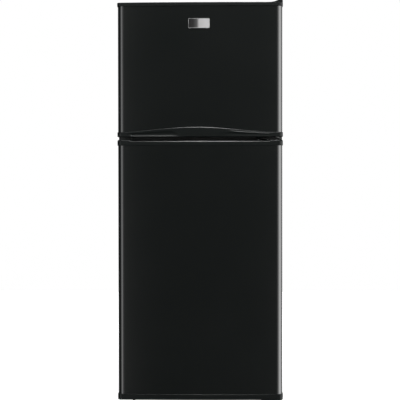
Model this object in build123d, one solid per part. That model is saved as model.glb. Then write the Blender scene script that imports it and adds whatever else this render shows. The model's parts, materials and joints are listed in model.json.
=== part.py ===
from build123d import *
from math import cos, radians, sin
import os

# Top freezer refrigerator. Millimetres, +Z up, -Y is the front, and the origin is on the floor
# under the middle of the object. Both doors are hinged on the right, at +X.

# Overall sizes
overall_width = 602
overall_depth = 720
fridge_door_height = 946
freezer_door_height = 486
door_gap = 11
door_clearance_below = 55
cabinet_clearance_below = 40

# Sheets, walls and running clearances
seat_gap = 0.3
running_gap = 0.05
bushing_gap = 0.1
foam_clearance = 1
overshoot = 10
sheet = 1.0
liner_wall = 2.0
bin_wall = 2.5
side_wall = 48
top_wall = 54
floor_wall = 55
rear_wall = 60
divider = 65

# Doors
cap_overhang = 2
crown_rise = 10
door_thickness = 62
door_corner = 18
gasket_thickness = 14
gasket_width = 16
gasket_inset_side = 26
gasket_inset_end = 8
freezer_top_cap_height = 13
freezer_bottom_cap_height = 18
fridge_top_cap_height = 21
fridge_bottom_cap_height = 20
arch_rise = 17
arch_margin = 46
lip_drop = 5
pocket_margin = 51
pocket_front = 16
pocket_depth = 38
pocket_height = 16
pocket_wall = 2.5
dike_inset_side = 13
dike_inset_end = 10
dike_width = 22
dike_reach = 24
dike_corner = 25
dike_inner_corner = 10
badge_size = (77, 1.6, 35)
badge_corner = 3
badge_below_top = 76
badge_shift = -3

# Hinges
pin_radius = 4
pin_inset = 22
pin_behind = 28
pin_length = 10
bushing_radius = 8
bushing_height = 12
flange_radius = 10
boss_radius = 12
plate = 4
top_plate = 3
plate_corner = 12
plate_beside_pin = 17
plate_before_pin = 20
hinge_leg = 3
centre_leg_height = 24
leg_beside_pin = 13
hinge_reach = 74
leaf_width = 38
leaf_before_pin = 12
leaf_on_top = 90
leaf_corner = 8
hinge_screw_radius = 3
hinge_screw_head = 4.5
leg_screw_inset = 9
leg_screw_spacing = 34
top_screw_inset = 13.5
top_screw_spacing = 40
screw_head_height = 3
screw_length = 12
cover_wall = 2.5
cover_height = 19
cover_width = 96
cover_sweep = (48, 16, 8)
cover_before_pin = 18
cover_on_top = 100
cover_corner = 5

# Compartments and shelves
lip_width = 20
ledge = (8, 6)
shelf_count = 2
shelf_front = 97
shelf_behind = 72
side_clearance = 1
shelf_thickness = 14
glass_thickness = 4
glass_border = 14
glass_rebate = 8
crisper_front = 105
crisper_behind = 6
crisper_gaps = (1.5, 3)
crisper_runner = 4
runner_width = 8
runner_inset = 12
grip_size = (110, 5, 26)
grip_below_top = 8
crisper_wall = 2.5
crisper_face = 8
crisper_cover_thickness = 5
wire_radius = 2.5
rim_wire_radius = 3.5
wire_count = 15

# Door bins
bin_depth = 94
bin_corner = 18
bin_gap = 1.5
bin_lug = (10, 22, 8)
bottle_bin_height = 105
middle_bin_height = 85
upper_bin_height = 75
freezer_bin_height = 75
bottle_bin_above_drawers = 42
upper_bin_below_ceiling = 214
freezer_bin_above_floor = 46
freezer_bin_below_ceiling = 175

# Machine compartment and cold parts
machine_height = 200
machine_depth = 190
hump_wall = 50
machine_plate_thickness = 2
plate_behind = 6
compressor_radius = 62
compressor_height = 135
compressor_at = (110, 78)
compressor_foot = (152, 108, 3)
foot_corner = 14
terminal_box = (52, 28, 50)
terminal_box_out = 17
terminal_box_below_seam = 30
tube_radius = 4
tube_stubs = ((200, 54), (225, 88), (250, 54))
mount_spacing = (124, 80)
mount_radius = 10
mount_height = 16
pan_size = (200, 130, 40)
pan_at = (-130, 88)
pan_corner = 10
vent_rows = 9
vent_size = (140, 5)
vent_spacing = 14
vent_columns = (-150, 90)
vents_above_edge = 38
cover_lap = 14
cover_side_gap = 4
cover_screw_radius = 2
cover_screw_head = 4.5
cover_screw_length = 9
cover_screw_inset = 18
gland_radius = 9
gland_collar = 12
gland_depth = 6
gland_above_base = 26
cord_radius = 4
evaporator_depth = 46
evaporator_margin = 53
evaporator_above_floor = 25
evaporator_below_fan = 68
fin_count = 21
fin_thickness = 1.2
fin_tube_radius = 4
fin_tube_rows = (0.28, 0.72)
fin_tube_levels = (0.15, 0.5, 0.85)
grille_before_rear = 66
grille_slot = 6
grille_pitch = 13
floor_slot = (24, 8)
floor_slot_pitch = 38
fan_before_rear = 55
fan_radius = 48
fan_hub = 14
fan_shaft = 3
fan_below_ceiling = 115
blade_width = 22
blade_thickness = 2
blade_pitch = 40
motor_radius = 26
motor_behind_fan = 18
fan_blades = 5

# Controls
housing_size = (260, 160, 40)
housing_front = 36
housing_corner = 10
control_row = 60
knob_radius = 18
knob_height = 14
knob_grip = (8, 9)
knob_shaft = 3
knob_at = 70
lens_size = (90, 50, 9)
lens_corner = 8
plunger_radius = 4
plunger_guide = 14
plunger_tail = 6
plunger_at = -80

# Feet and rollers
foot_radius = 20
foot_height = 12
foot_hexagon = (9, 6)
foot_screw = 5
foot_screw_end = 4
foot_nut = 10
foot_inset = (51, 36)
roller_radius = 18
roller_width = 20
roller_edge = 1.5
roller_inset = (73, 60)
bracket_wall = 2.5
bracket_size = (40, 24)
axle_end = 2

# Places worked out from the sizes above
front = -overall_depth / 2
rear = overall_depth / 2
cap_side = overall_width / 2
skin_side = cap_side - cap_overhang
cabinet_side = cap_side
opening_side = cabinet_side - side_wall
skin_front = front + cap_overhang
door_back = skin_front + crown_rise + door_thickness
pan_front = door_back - liner_wall
cabinet_front = door_back + gasket_thickness
fridge_door_bottom = door_clearance_below
fridge_door_top = fridge_door_bottom + fridge_door_height
freezer_door_bottom = fridge_door_top + door_gap
freezer_door_top = freezer_door_bottom + freezer_door_height
cabinet_top = freezer_door_top + sheet
cabinet_bottom = cabinet_clearance_below
divider_middle = fridge_door_top + door_gap / 2
fridge_floor = cabinet_bottom + floor_wall
fridge_ceiling = divider_middle - divider / 2
freezer_floor = divider_middle + divider / 2
freezer_ceiling = cabinet_top - top_wall
rear_face = rear - screw_head_height
wrap_rear = rear_face - sheet
inner_rear = wrap_rear - rear_wall
machine_top = cabinet_bottom + machine_height
machine_front = wrap_rear - machine_depth
hump_front = machine_front - hump_wall
hump_top = machine_top + hump_wall
pin_x = cap_side - pin_inset
pin_y = door_back - pin_behind
centre_plate_top = fridge_door_top + (door_gap + plate) / 2
lower_plate_top = fridge_door_bottom - (door_gap - plate) / 2
dike_back = cabinet_front + dike_reach
dike_side = opening_side - dike_inset_side
bin_side = dike_side - dike_width - bin_gap
arch_half_width = cap_side - arch_margin
pocket_half_width = cap_side - pocket_margin
bin_back = pan_front + liner_wall + seat_gap
flange_inner = opening_side + liner_wall + side_clearance
floor_steel = cabinet_bottom + sheet
crisper_base = fridge_floor + crisper_runner + seat_gap
crisper_face_y = cabinet_front + crisper_front
crisper_back = hump_front - crisper_behind
crisper_cover_base = hump_top + seat_gap
crisper_top = crisper_cover_base - seat_gap - ledge[1] - crisper_gaps[1]
fan_y = inner_rear - fan_before_rear
grille_y = inner_rear - grille_before_rear
housing_front_y = cabinet_front + housing_front
housing_low = fridge_ceiling - housing_size[2]
shelf_front_y = cabinet_front + shelf_front
shelf_rear_y = inner_rear - shelf_behind
shelf_pitch = (housing_low - crisper_cover_base) / (shelf_count + 1)
shelf_heights = [crisper_cover_base + shelf_pitch * (i + 1) for i in range(shelf_count)]
freezer_shelf_height = (freezer_floor + freezer_ceiling) / 2
fan_height = freezer_ceiling - fan_below_ceiling
bottle_bin = hump_top + bottle_bin_above_drawers
upper_bin = fridge_ceiling - upper_bin_below_ceiling
fridge_bins = {
    "lower": (bottle_bin, bottle_bin_height),
    "middle": ((bottle_bin + upper_bin) / 2 + ledge[1], middle_bin_height),
    "upper": (upper_bin, upper_bin_height),
}
freezer_bins = {
    "lower": (freezer_floor + freezer_bin_above_floor, freezer_bin_height),
    "upper": (freezer_ceiling - freezer_bin_below_ceiling, freezer_bin_height),
}


def block(x, y, z):
    """A box from its low and high X, Y and Z."""
    size = (x[1] - x[0], y[1] - y[0], z[1] - z[0])
    middle = ((x[0] + x[1]) / 2, (y[0] + y[1]) / 2, (z[0] + z[1]) / 2)
    return Pos(*middle) * Box(*size)


def rod(radius, x, y, z):
    """A round bar along whichever of X, Y and Z is given as a low and high pair."""
    ends = [v if isinstance(v, tuple) else (v, v) for v in (x, y, z)]
    start, end = Vector(*[e[0] for e in ends]), Vector(*[e[1] for e in ends])
    return Solid.make_cylinder(radius, (end - start).length, Plane(start, z_dir=end - start))


def tray(x, y, z, wall, corner):
    """An open-topped box with rounded upright corners."""
    outer = block(x, y, z)
    outer = fillet(outer.edges().filter_by(Axis.Z), corner)
    inner = block((x[0] + wall, x[1] - wall), (y[0] + wall, y[1] - wall), (z[0] + wall, z[1] + wall))
    inner = fillet(inner.edges().filter_by(Axis.Z), corner - wall)
    return outer - inner


def save(shape, node):
    """One STEP file per sub-part, holding only its solids."""
    solids = shape.solids()
    shape = solids[0] if len(solids) == 1 else Compound(solids)
    shape.label = node
    export_step(shape, f"parts/{node}.step")


# Doors

def door_plan(side, face, back, corner):
    """Plan of a door: crowned front, rounded front corners and a flat back."""
    edge = face + crown_rise
    crown = ThreePointArc((-side, edge), (0, face), (side, edge))
    sides = Polyline((side, edge), (side, back), (-side, back), (-side, edge))
    plan = make_face([crown, sides])
    return fillet(plan.vertices().sort_by(Axis.Y)[:2], corner)


def door_block(inset, bottom, top, back=pan_front):
    """The door's plan, inset from the caps' outside, between two heights."""
    plan = door_plan(cap_side - inset, front + inset, back, door_corner + cap_overhang - inset)
    return extrude(Pos(0, 0, bottom) * plan, top - bottom)


def arch_prism(bottom, rise, grow, y):
    """All that lies under the bell-shaped arch line, between two depths."""
    side = cap_side + overshoot
    end = arch_half_width + grow
    base = freezer_door_bottom - side
    line = Spline([(-end, bottom), (0, bottom + rise), (end, bottom)], tangents=[(1, 0), (1, 0)])
    corners = [(end, bottom), (side, bottom), (side, base), (-side, base), (-side, bottom), (-end, bottom)]
    profile = Plane.XZ * make_face([line, Polyline(*corners)])
    return Pos(0, y[1], 0) * extrude(profile, y[1] - y[0])


def arch_above(cap_bottom):
    """Everything below the top line of the arched cap, as deep as the door."""
    return arch_prism(cap_bottom + freezer_bottom_cap_height, arch_rise, 0, (front - overshoot, door_back))


def freezer_pocket(grow):
    """The pull pocket under the freezer door, which follows the arch."""
    top = freezer_door_bottom + freezer_bottom_cap_height - cap_overhang - sheet * 2 + grow
    y = (front + pocket_front - grow, front + pocket_front + pocket_depth + grow)
    under = arch_prism(top, arch_rise, grow, y)
    side = pocket_half_width + grow
    return under & block((-side, side), y, (freezer_door_bottom, top + arch_rise + overshoot))


def fridge_pocket(grow):
    """The pull pocket in the top of the fridge door."""
    side = pocket_half_width + grow
    y = (front + pocket_front - grow, front + pocket_front + pocket_depth + grow)
    return block((-side, side), y, (fridge_door_top - pocket_height - grow, fridge_door_top))


def lowered_lip(drop):
    """The space that the lowered lip leaves over the fridge door's pull pocket."""
    end = arch_half_width + drop
    low = fridge_door_top - drop
    edge = fridge_door_top
    high = fridge_door_top + overshoot
    left = [(-end, high), (-end, edge), (drop - end, low)]
    right = [(end - drop, low), (end, edge), (end, high)]
    outline = make_face(Polyline(*left, *right, close=True))
    y = (front - overshoot, front + pocket_front + pocket_depth)
    return Pos(0, y[1], 0) * extrude(Plane.XZ * outline, y[1] - y[0])


def bushing_hole(low, high):
    return rod(bushing_radius, pin_x, pin_y, (low, high))


def cap_shell(bottom, top, open_up):
    """A moulded end cap, closed at the door's end and open towards the foam."""
    wall = cap_overhang + sheet
    shell = door_block(0, bottom, top)
    if open_up:
        shell -= door_block(wall, bottom + wall, top + overshoot)
        boss = (bottom, min(bottom + bushing_height + wall, top))
    else:
        shell -= door_block(wall, bottom - overshoot, top - wall)
        boss = (max(top - bushing_height - wall, bottom), top)
    return shell + rod(boss_radius, pin_x, pin_y, boss)


def freezer_door_top_cap():
    cap = cap_shell(freezer_door_top - freezer_top_cap_height, freezer_door_top, open_up=False)
    return cap - bushing_hole(freezer_door_top - bushing_height, freezer_door_top)


def freezer_door_bottom_cap():
    bottom = freezer_door_bottom
    cap = cap_shell(bottom, bottom + freezer_bottom_cap_height + arch_rise, open_up=True)
    cap = cap & arch_above(bottom)
    cap = cap + freezer_pocket(pocket_wall) - freezer_pocket(0)
    return cap - bushing_hole(bottom, bottom + bushing_height)


def fridge_door_top_cap():
    top = fridge_door_top
    cap = cap_shell(top - fridge_top_cap_height, top, open_up=False)
    lip_floor = cap_overhang + sheet
    lip = door_block(0, top - lip_drop - lip_floor, top) & lowered_lip(lip_drop + lip_floor)
    cap = cap + fridge_pocket(pocket_wall) + lip - lowered_lip(lip_drop) - fridge_pocket(0)
    return cap - bushing_hole(top - bushing_height, top)


def fridge_door_bottom_cap():
    bottom = fridge_door_bottom
    cap = cap_shell(bottom, bottom + fridge_bottom_cap_height, open_up=True)
    return cap - bushing_hole(bottom, bottom + bushing_height)


def door_skin(bottom, top):
    """The bent sheet: crowned front and both sides, open at the back and the ends."""
    hollow = door_block(cap_overhang + sheet, bottom, top, pan_front + overshoot)
    return door_block(cap_overhang, bottom, top) - hollow


def freezer_door_skin():
    low = freezer_door_bottom + freezer_bottom_cap_height
    skin = door_skin(low, freezer_door_top - freezer_top_cap_height)
    return skin - arch_above(freezer_door_bottom)


def fridge_door_skin():
    low = fridge_door_bottom + fridge_bottom_cap_height
    return door_skin(low, fridge_door_top - fridge_top_cap_height)


def dike(opening, inset, back):
    """The raised border of a door liner, as a solid ring from the pan backwards."""
    low, high = opening[0] + dike_inset_end + inset, opening[1] - dike_inset_end - inset
    side = dike_side - inset
    width = dike_width - 2 * inset
    ring = block((-side, side), (pan_front, back), (low, high))
    ring = fillet(ring.edges().filter_by(Axis.Y), dike_corner - inset)
    hole = block((width - side, side - width), (pan_front, back), (low + width, high - width))
    return ring - fillet(hole.edges().filter_by(Axis.Y), dike_inner_corner + inset)


def door_liner(bottom, top, opening, bins):
    """The vacuum-formed inner panel, with its border and a pair of lugs under each bin."""
    panel = block((-skin_side, skin_side), (pan_front, door_back), (bottom, top))
    panel = panel + dike(opening, 0, dike_back) - dike(opening, liner_wall, dike_back - liner_wall)
    inner = dike_side - dike_width
    for height, _ in bins.values():
        for side in (-1, 1):
            x = sorted((side * inner, side * (inner - bin_lug[0])))
            panel += block(x, (door_back, door_back + bin_lug[1]), (height - bin_lug[2], height - seat_gap))
    return panel


def door_foam(bottom, top, opening):
    wall = cap_overhang + sheet
    return door_block(wall, bottom + wall, top - wall) + dike(opening, liner_wall, dike_back - liner_wall)


def bosses(low, high):
    """The room that the foam leaves for the bushing bosses of a door's two caps."""
    height = bushing_height + cap_overhang + sheet
    ends = rod(boss_radius, pin_x, pin_y, (low, low + height))
    return ends + rod(boss_radius, pin_x, pin_y, (high - height, high))


def freezer_door_foam():
    foam = door_foam(freezer_door_bottom, freezer_door_top, (freezer_floor, freezer_ceiling))
    return foam - bosses(freezer_door_bottom, freezer_door_top) - freezer_pocket(pocket_wall)


def fridge_door_foam():
    foam = door_foam(fridge_door_bottom, fridge_door_top, (fridge_floor, fridge_ceiling))
    lip = lowered_lip(lip_drop + cap_overhang + sheet)
    return foam - bosses(fridge_door_bottom, fridge_door_top) - fridge_pocket(pocket_wall) - lip


def door_gasket(bottom, top):
    """The magnetic seal, a picture frame between the door liner and the cabinet front."""
    side = cap_side - gasket_inset_side
    low, high = bottom + gasket_inset_end, top - gasket_inset_end
    y = (door_back, cabinet_front - seat_gap)
    ring = block((-side, side), y, (low, high))
    hole_side = side - gasket_width
    return ring - block((-hole_side, hole_side), y, (low + gasket_width, high - gasket_width))


def door_bushings(bottom, top, plate_top):
    """A flanged nylon bushing on the plate under the door, and a plain one in the door's top."""
    flange = plate_top + seat_gap
    radius = bushing_radius - bushing_gap
    low = rod(radius, pin_x, pin_y, (bottom, bottom + bushing_height))
    low += rod(flange_radius, pin_x, pin_y, (flange, bottom))
    high = rod(radius, pin_x, pin_y, (top - bushing_height, top))
    bore = rod(pin_radius + running_gap, pin_x, pin_y, (flange, top))
    return Compound([(low - bore).solid(), (high - bore).solid()])


def door_bin(height, tall):
    """A bin that hangs between the upright borders of a door liner."""
    y = (bin_back, bin_back + bin_depth)
    return tray((-bin_side, bin_side), y, (height, height + tall), bin_wall, bin_corner)


def badge():
    wide, thick, tall = badge_size
    y = (skin_front - thick, skin_front - running_gap)
    z = freezer_door_top - badge_below_top
    plate_block = block((badge_shift - wide / 2, badge_shift + wide / 2), y, (z - tall / 2, z + tall / 2))
    return fillet(plate_block.edges().filter_by(Axis.Y), badge_corner)


# Hinges

def leg_screws(height):
    """Where the two screws of a hinge leg go, seen from the front."""
    left = pin_x - hinge_reach + leg_screw_inset
    return [(left, height), (left + leg_screw_spacing, height)]


def hinge_bracket(plate_low, pins, leg_z, screw_z):
    """A bent bracket: a plate under or between the doors, and a leg on the cabinet front."""
    x = (pin_x - hinge_reach + plate_beside_pin, pin_x + plate_beside_pin)
    reach = block(x, (pin_y - plate_before_pin, cabinet_front), (plate_low, plate_low + plate))
    reach = fillet(reach.edges().filter_by(Axis.Z).sort_by(Axis.Y)[:2], plate_corner)
    leg_x = (pin_x - hinge_reach, pin_x - leg_beside_pin)
    bracket = reach + block(leg_x, (cabinet_front - hinge_leg, cabinet_front), leg_z)
    for pin in pins:
        bracket += rod(pin_radius, pin_x, pin_y, pin)
    for x, z in leg_screws(screw_z):
        bracket -= rod(hinge_screw_radius + running_gap, x, (cabinet_front - hinge_leg, cabinet_front), z)
    return bracket


def centre_leg():
    """The centre hinge's leg, between the two gaskets."""
    return divider_middle - centre_leg_height / 2, divider_middle + centre_leg_height / 2


def centre_screw_height():
    return centre_leg()[0] + hinge_screw_head + seat_gap


def lower_leg():
    """The lower hinge's leg, on the cabinet's floor sheet and under the gasket."""
    return cabinet_bottom + seat_gap, fridge_door_bottom + gasket_inset_end - seat_gap


def lower_screw_height():
    return lower_plate_top + hinge_screw_head + seat_gap


def centre_hinge():
    low = centre_plate_top - plate
    pins = [(low, freezer_door_bottom + pin_length), (fridge_door_top - pin_length, low + plate)]
    return hinge_bracket(low, pins, centre_leg(), centre_screw_height())


def lower_hinge():
    low = lower_plate_top - plate
    pins = [(low, fridge_door_bottom + pin_length)]
    return hinge_bracket(low, pins, lower_leg(), lower_screw_height())


def top_screws():
    """Where the two screws of the top hinge go, behind the door."""
    x = pin_x + plate_beside_pin - top_screw_inset
    y = cabinet_front + leaf_on_top - top_screw_inset
    return [(x, y - top_screw_spacing), (x, y)]


def top_hinge():
    """The flat leaf on the cabinet's top, with the pin that goes down into the freezer door."""
    right = pin_x + plate_beside_pin
    y = (pin_y - leaf_before_pin, cabinet_front + leaf_on_top)
    leaf = block((right - leaf_width, right), y, (cabinet_top, cabinet_top + top_plate))
    leaf = fillet(leaf.edges().filter_by(Axis.Z), leaf_corner)
    leaf += rod(pin_radius, pin_x, pin_y, (freezer_door_top - pin_length, cabinet_top + top_plate))
    for x, y in top_screws():
        leaf -= rod(hinge_screw_radius + running_gap, x, y, (cabinet_top, cabinet_top + top_plate))
    return leaf


def hinge_cover():
    """The moulded cover over the top hinge: low on the left, it sweeps up to the corner."""
    right = cap_side
    left = right - cover_width
    base = cabinet_top + running_gap
    low = base + cover_wall
    high = base + cover_height
    foot, bend, shoulder = [right - reach for reach in cover_sweep]
    points = [(left, low), (foot, low + cover_wall), (bend, high - cover_wall / 2), (shoulder, high)]
    sweep = Spline(points, tangents=[(1, 0), (1, 0)])
    rest = Polyline(points[-1], (right, high), (right, base), (left, base), (left, low))
    y = (pin_y - cover_before_pin, cabinet_front + cover_on_top)
    cover = Pos(0, y[1], 0) * extrude(Plane.XZ * make_face([sweep, rest]), y[1] - y[0])
    cover = fillet(cover.edges().filter_by(Axis.Y).sort_by(Axis.Z)[-1], cover_corner)
    leaf_right = pin_x + plate_beside_pin + seat_gap
    leaf_x = (leaf_right - leaf_width - 2 * seat_gap, leaf_right)
    leaf_y = (pin_y - leaf_before_pin - seat_gap, cabinet_front + leaf_on_top + seat_gap)
    leaf_top = cabinet_top + top_plate + seat_gap
    cover -= block(leaf_x, leaf_y, (base, leaf_top))
    for x, y in top_screws():
        cover -= rod(hinge_screw_head + seat_gap, x, y, (base, leaf_top + screw_head_height))
    return cover


def hinge_screws():
    """Two screws in each of the three hinges."""
    screws = []
    for x, y in top_screws():
        under = cabinet_top + top_plate
        shank = rod(hinge_screw_radius, x, y, (under - screw_length, under))
        screws.append(shank + rod(hinge_screw_head, x, y, (under, under + screw_head_height)))
    for height in (centre_screw_height(), lower_screw_height()):
        under = cabinet_front - hinge_leg
        for x, z in leg_screws(height):
            shank = rod(hinge_screw_radius, x, (under, under + screw_length), z)
            screws.append(shank + rod(hinge_screw_head, x, (under - screw_head_height, under), z))
    return Compound([s.solid() for s in screws])


def hinge_screw_holes(radius):
    """The holes that the hinge screws need in the sheets and the foam behind them."""
    holes = [rod(radius, x, y, (cabinet_top - screw_length, cabinet_top)) for x, y in top_screws()]
    for height in (centre_screw_height(), lower_screw_height()):
        for x, z in leg_screws(height):
            holes.append(rod(radius, x, (cabinet_front, cabinet_front + screw_length), z))
    return holes


def cut_all(shape, cuts):
    for cut in cuts:
        shape -= cut
    return shape


# Cabinet

def cabinet_wrap():
    """The outer sheet: both sides and the top, turned in at the front edge."""
    y = (cabinet_front, wrap_rear)
    outer = block((-cabinet_side, cabinet_side), y, (cabinet_bottom, cabinet_top))
    inner_side = cabinet_side - sheet
    inner_y = (cabinet_front + sheet, wrap_rear + overshoot)
    inner = block((-inner_side, inner_side), inner_y, (cabinet_bottom - overshoot, cabinet_top - sheet))
    mouth_y = (cabinet_front - overshoot, cabinet_front + overshoot)
    mouth_z = (cabinet_bottom - overshoot, freezer_ceiling + liner_wall)
    mouth = block((-flange_inner, flange_inner), mouth_y, mouth_z)
    return cut_all(outer - inner - mouth, hinge_screw_holes(hinge_screw_radius + running_gap))


def cabinet_back():
    """The flat steel back above the machine compartment."""
    side = cabinet_side - sheet - seat_gap
    back = block((-side, side), (wrap_rear - sheet, wrap_rear), (machine_top, cabinet_top - sheet - seat_gap))
    return cut_all(back, cover_screw_holes(cover_screw_radius + running_gap))


def cabinet_base():
    """The bent floor sheet: front upstand, floor, riser and the roof of the machine compartment."""
    side = cabinet_side - sheet - seat_gap
    x = (-side, side)
    wide = (seat_gap - flange_inner, flange_inner - seat_gap)
    upstand_top = fridge_floor - liner_wall - seat_gap
    base = block(wide, (cabinet_front, cabinet_front + sheet), (cabinet_bottom, upstand_top))
    base += block(wide, (cabinet_front, cabinet_front + 2 * sheet), (cabinet_bottom, floor_steel))
    base += block(x, (cabinet_front + sheet + seat_gap, machine_front), (cabinet_bottom, floor_steel))
    base += block(x, (machine_front - sheet, machine_front), (cabinet_bottom, machine_top))
    roof_y = (machine_front - sheet, wrap_rear - sheet - seat_gap)
    base += block(x, roof_y, (machine_top - sheet, machine_top))
    for foot_x, foot_y in foot_places():
        nut_top = floor_steel + foot_nut
        base += rod(foot_nut, foot_x, foot_y, (floor_steel, nut_top))
        base -= rod(foot_screw + running_gap, foot_x, foot_y, (cabinet_bottom, nut_top))
    return cut_all(base, hinge_screw_holes(hinge_screw_radius + running_gap))


def mullion_rail():
    """The steel strip across the front between the two openings."""
    side = flange_inner - seat_gap
    z = (fridge_ceiling + liner_wall + seat_gap, freezer_floor - liner_wall - seat_gap)
    rail = block((-side, side), (cabinet_front, cabinet_front + sheet), z)
    return cut_all(rail, hinge_screw_holes(hinge_screw_radius + running_gap))


def freezer_room(grow):
    side = opening_side + grow
    z = (freezer_floor - grow, freezer_ceiling + grow)
    return block((-side, side), (cabinet_front, inner_rear + grow), z)


def fridge_room(grow):
    """The fridge compartment, with the hump over the machine compartment at its rear."""
    side = opening_side + grow
    z = (fridge_floor - grow, fridge_ceiling + grow)
    room = block((-side, side), (cabinet_front, inner_rear + grow), z)
    return room - block((-side, side), (hump_front + grow, rear), (0, hump_top - grow))


def liner_lip(room, low, high):
    """A liner's outward lip, tucked behind the front sheets, and its open mouth."""
    y = (cabinet_front + sheet + seat_gap, cabinet_front + sheet + seat_gap + liner_wall)
    side = opening_side + lip_width
    lip = block((-side, side), y, (low, high))
    return lip - room


def ledges(top, rear_end):
    """A pair of moulded ledges on a liner's side walls."""
    y = (shelf_front_y, rear_end)
    left = block((-opening_side, ledge[0] - opening_side), y, (top - ledge[1], top))
    return left + block((opening_side - ledge[0], opening_side), y, (top - ledge[1], top))


def freezer_liner():
    room = freezer_room(0)
    low, high = freezer_floor - lip_width, freezer_ceiling + lip_width
    liner = freezer_room(liner_wall) - room + liner_lip(room, low, high)
    top = freezer_shelf_height - rim_wire_radius - seat_gap
    liner += ledges(top, grille_y - seat_gap)
    return cut_all(liner, hinge_screw_holes(hinge_screw_radius + running_gap))


def fridge_liner():
    room = fridge_room(0)
    low, high = fridge_floor - lip_width, fridge_ceiling + lip_width
    liner = fridge_room(liner_wall) - room + liner_lip(room, low, high)
    for height in shelf_heights:
        liner += ledges(height - seat_gap, shelf_rear_y)
    liner += ledges(crisper_cover_base - seat_gap, hump_front)
    runner_y = (cabinet_front + runner_inset, crisper_back)
    for x in (runner_inset - opening_side, -runner_inset, runner_inset, opening_side - runner_inset):
        runner_x = (x - runner_width / 2, x + runner_width / 2)
        liner += block(runner_x, runner_y, (fridge_floor, fridge_floor + crisper_runner))
    return cut_all(liner, hinge_screw_holes(hinge_screw_radius + running_gap))


def cabinet_foam():
    """The insulation between the outer sheets and the two liners."""
    side = cabinet_side - sheet
    front_y = cabinet_front + sheet + seat_gap + liner_wall
    foam = block((-side, side), (front_y, wrap_rear - sheet), (floor_steel, cabinet_top - sheet))
    foam -= block((-side, side), (machine_front - sheet, rear), (0, machine_top))
    foam = foam - freezer_room(liner_wall) - fridge_room(liner_wall)
    for foot_x, foot_y in foot_places():
        nut_top = floor_steel + foot_nut
        foam -= rod(foot_nut, foot_x, foot_y, (floor_steel, nut_top))
        foam -= rod(foot_screw + foam_clearance, foot_x, foot_y, (nut_top, nut_top + 2 * foot_screw_end))
    foam = cut_all(foam, cover_screw_holes(cover_screw_radius + foam_clearance))
    return cut_all(foam, hinge_screw_holes(hinge_screw_radius + foam_clearance))


# Machine compartment

def machine_plate():
    """The steel plate that carries the compressor, across the back of the cabinet."""
    side = cabinet_side - sheet - seat_gap
    y = (machine_front + seat_gap, wrap_rear - plate_behind)
    return block((-side, side), y, (cabinet_bottom, cabinet_bottom + machine_plate_thickness))


def mount_places():
    x, y = compressor_place()
    return [(x + i * mount_spacing[0] / 2, y + j * mount_spacing[1] / 2) for i in (-1, 1) for j in (-1, 1)]


def compressor_place():
    return compressor_at[0], machine_front + compressor_at[1]


def compressor_mounts():
    """Four rubber mounts between the plate and the compressor's feet."""
    low = cabinet_bottom + machine_plate_thickness
    mounts = [rod(mount_radius, x, y, (low, low + mount_height)) for x, y in mount_places()]
    return Compound(mounts)


def compressor():
    """The sealed can on its foot plate, with the terminal box and three tube stubs."""
    x, y = compressor_place()
    foot_wide, foot_deep, foot_thick = compressor_foot
    base = cabinet_bottom + machine_plate_thickness + mount_height
    can_low = base + foot_thick
    seam = can_low + compressor_height / 2
    can = rod(compressor_radius, x, y, (can_low, can_low + compressor_height))
    can = fillet(can.edges(), compressor_radius / 2)
    can += rod(compressor_radius + foot_thick / 2, x, y, (seam, seam + 2 * foot_thick))
    foot_x = (x - foot_wide / 2, x + foot_wide / 2)
    foot = block(foot_x, (y - foot_deep / 2, y + foot_deep / 2), (base, can_low))
    body = can + fillet(foot.edges().filter_by(Axis.Z), foot_corner)
    box_wide, box_deep, box_tall = terminal_box
    box_y = y + compressor_radius + terminal_box_out
    box_low = seam - terminal_box_below_seam
    box_x = (x - box_wide / 2, x + box_wide / 2)
    body += block(box_x, (box_y - box_deep, box_y), (box_low, box_low + box_tall))
    for turn, height in tube_stubs:
        inner = Vector(x, y, can_low + height)
        away = Vector(cos(radians(turn)), sin(radians(turn)), 0)
        body += Solid.make_cylinder(tube_radius, compressor_radius + foot_corner, Plane(inner, z_dir=away))
    return body


def drain_pan():
    """The pan where the defrost water dries off, on the machine plate."""
    x, y = pan_at[0], machine_front + pan_at[1]
    wide, deep, tall = pan_size
    low = cabinet_bottom + machine_plate_thickness
    pan_x = (x - wide / 2, x + wide / 2)
    pan_y = (y - deep / 2, y + deep / 2)
    return tray(pan_x, pan_y, (low, low + tall), bin_wall, pan_corner)


def rear_cover():
    """The vented sheet that closes the machine compartment."""
    side = cabinet_side - cover_side_gap
    z = (cabinet_bottom + plate_behind, machine_top + cover_lap)
    cover = block((-side, side), (wrap_rear, rear_face), z)
    for row in range(vent_rows):
        low = z[0] + vents_above_edge + row * vent_spacing
        for middle in vent_columns:
            slot_x = (middle - vent_size[0] / 2, middle + vent_size[0] / 2)
            cover -= block(slot_x, (wrap_rear, rear_face), (low, low + vent_size[1]))
    cover = cut_all(cover, cover_screw_holes(cover_screw_radius + running_gap))
    return cover - rod(gland_radius + running_gap, opening_side, (wrap_rear, rear_face), gland_height())


def cover_screw_places():
    """Along the top edge, where the cover laps over the steel back."""
    side = cabinet_side - cover_screw_inset
    return [(x, machine_top + cover_lap / 2) for x in (-side, -side / 3, side / 3, side)]


def cover_screw_holes(radius):
    y = (rear_face - cover_screw_length - foam_clearance, rear_face)
    return [rod(radius, x, y, z) for x, z in cover_screw_places()]


def cover_screws():
    screws = []
    for x, z in cover_screw_places():
        shank = rod(cover_screw_radius, x, (rear_face - cover_screw_length, rear_face), z)
        screws.append((shank + rod(cover_screw_head, x, (rear_face, rear), z)).solid())
    return Compound(screws)


def gland_height():
    return cabinet_bottom + gland_above_base


def cord_gland():
    """The grommet in the rear cover where the supply cord enters."""
    y = (wrap_rear - gland_depth, rear)
    neck = rod(gland_radius, opening_side, y, gland_height())
    collar = rod(gland_collar, opening_side, (y[0], wrap_rear - seat_gap), gland_height())
    return neck + collar - rod(cord_radius, opening_side, y, gland_height())


# Cold parts

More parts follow.
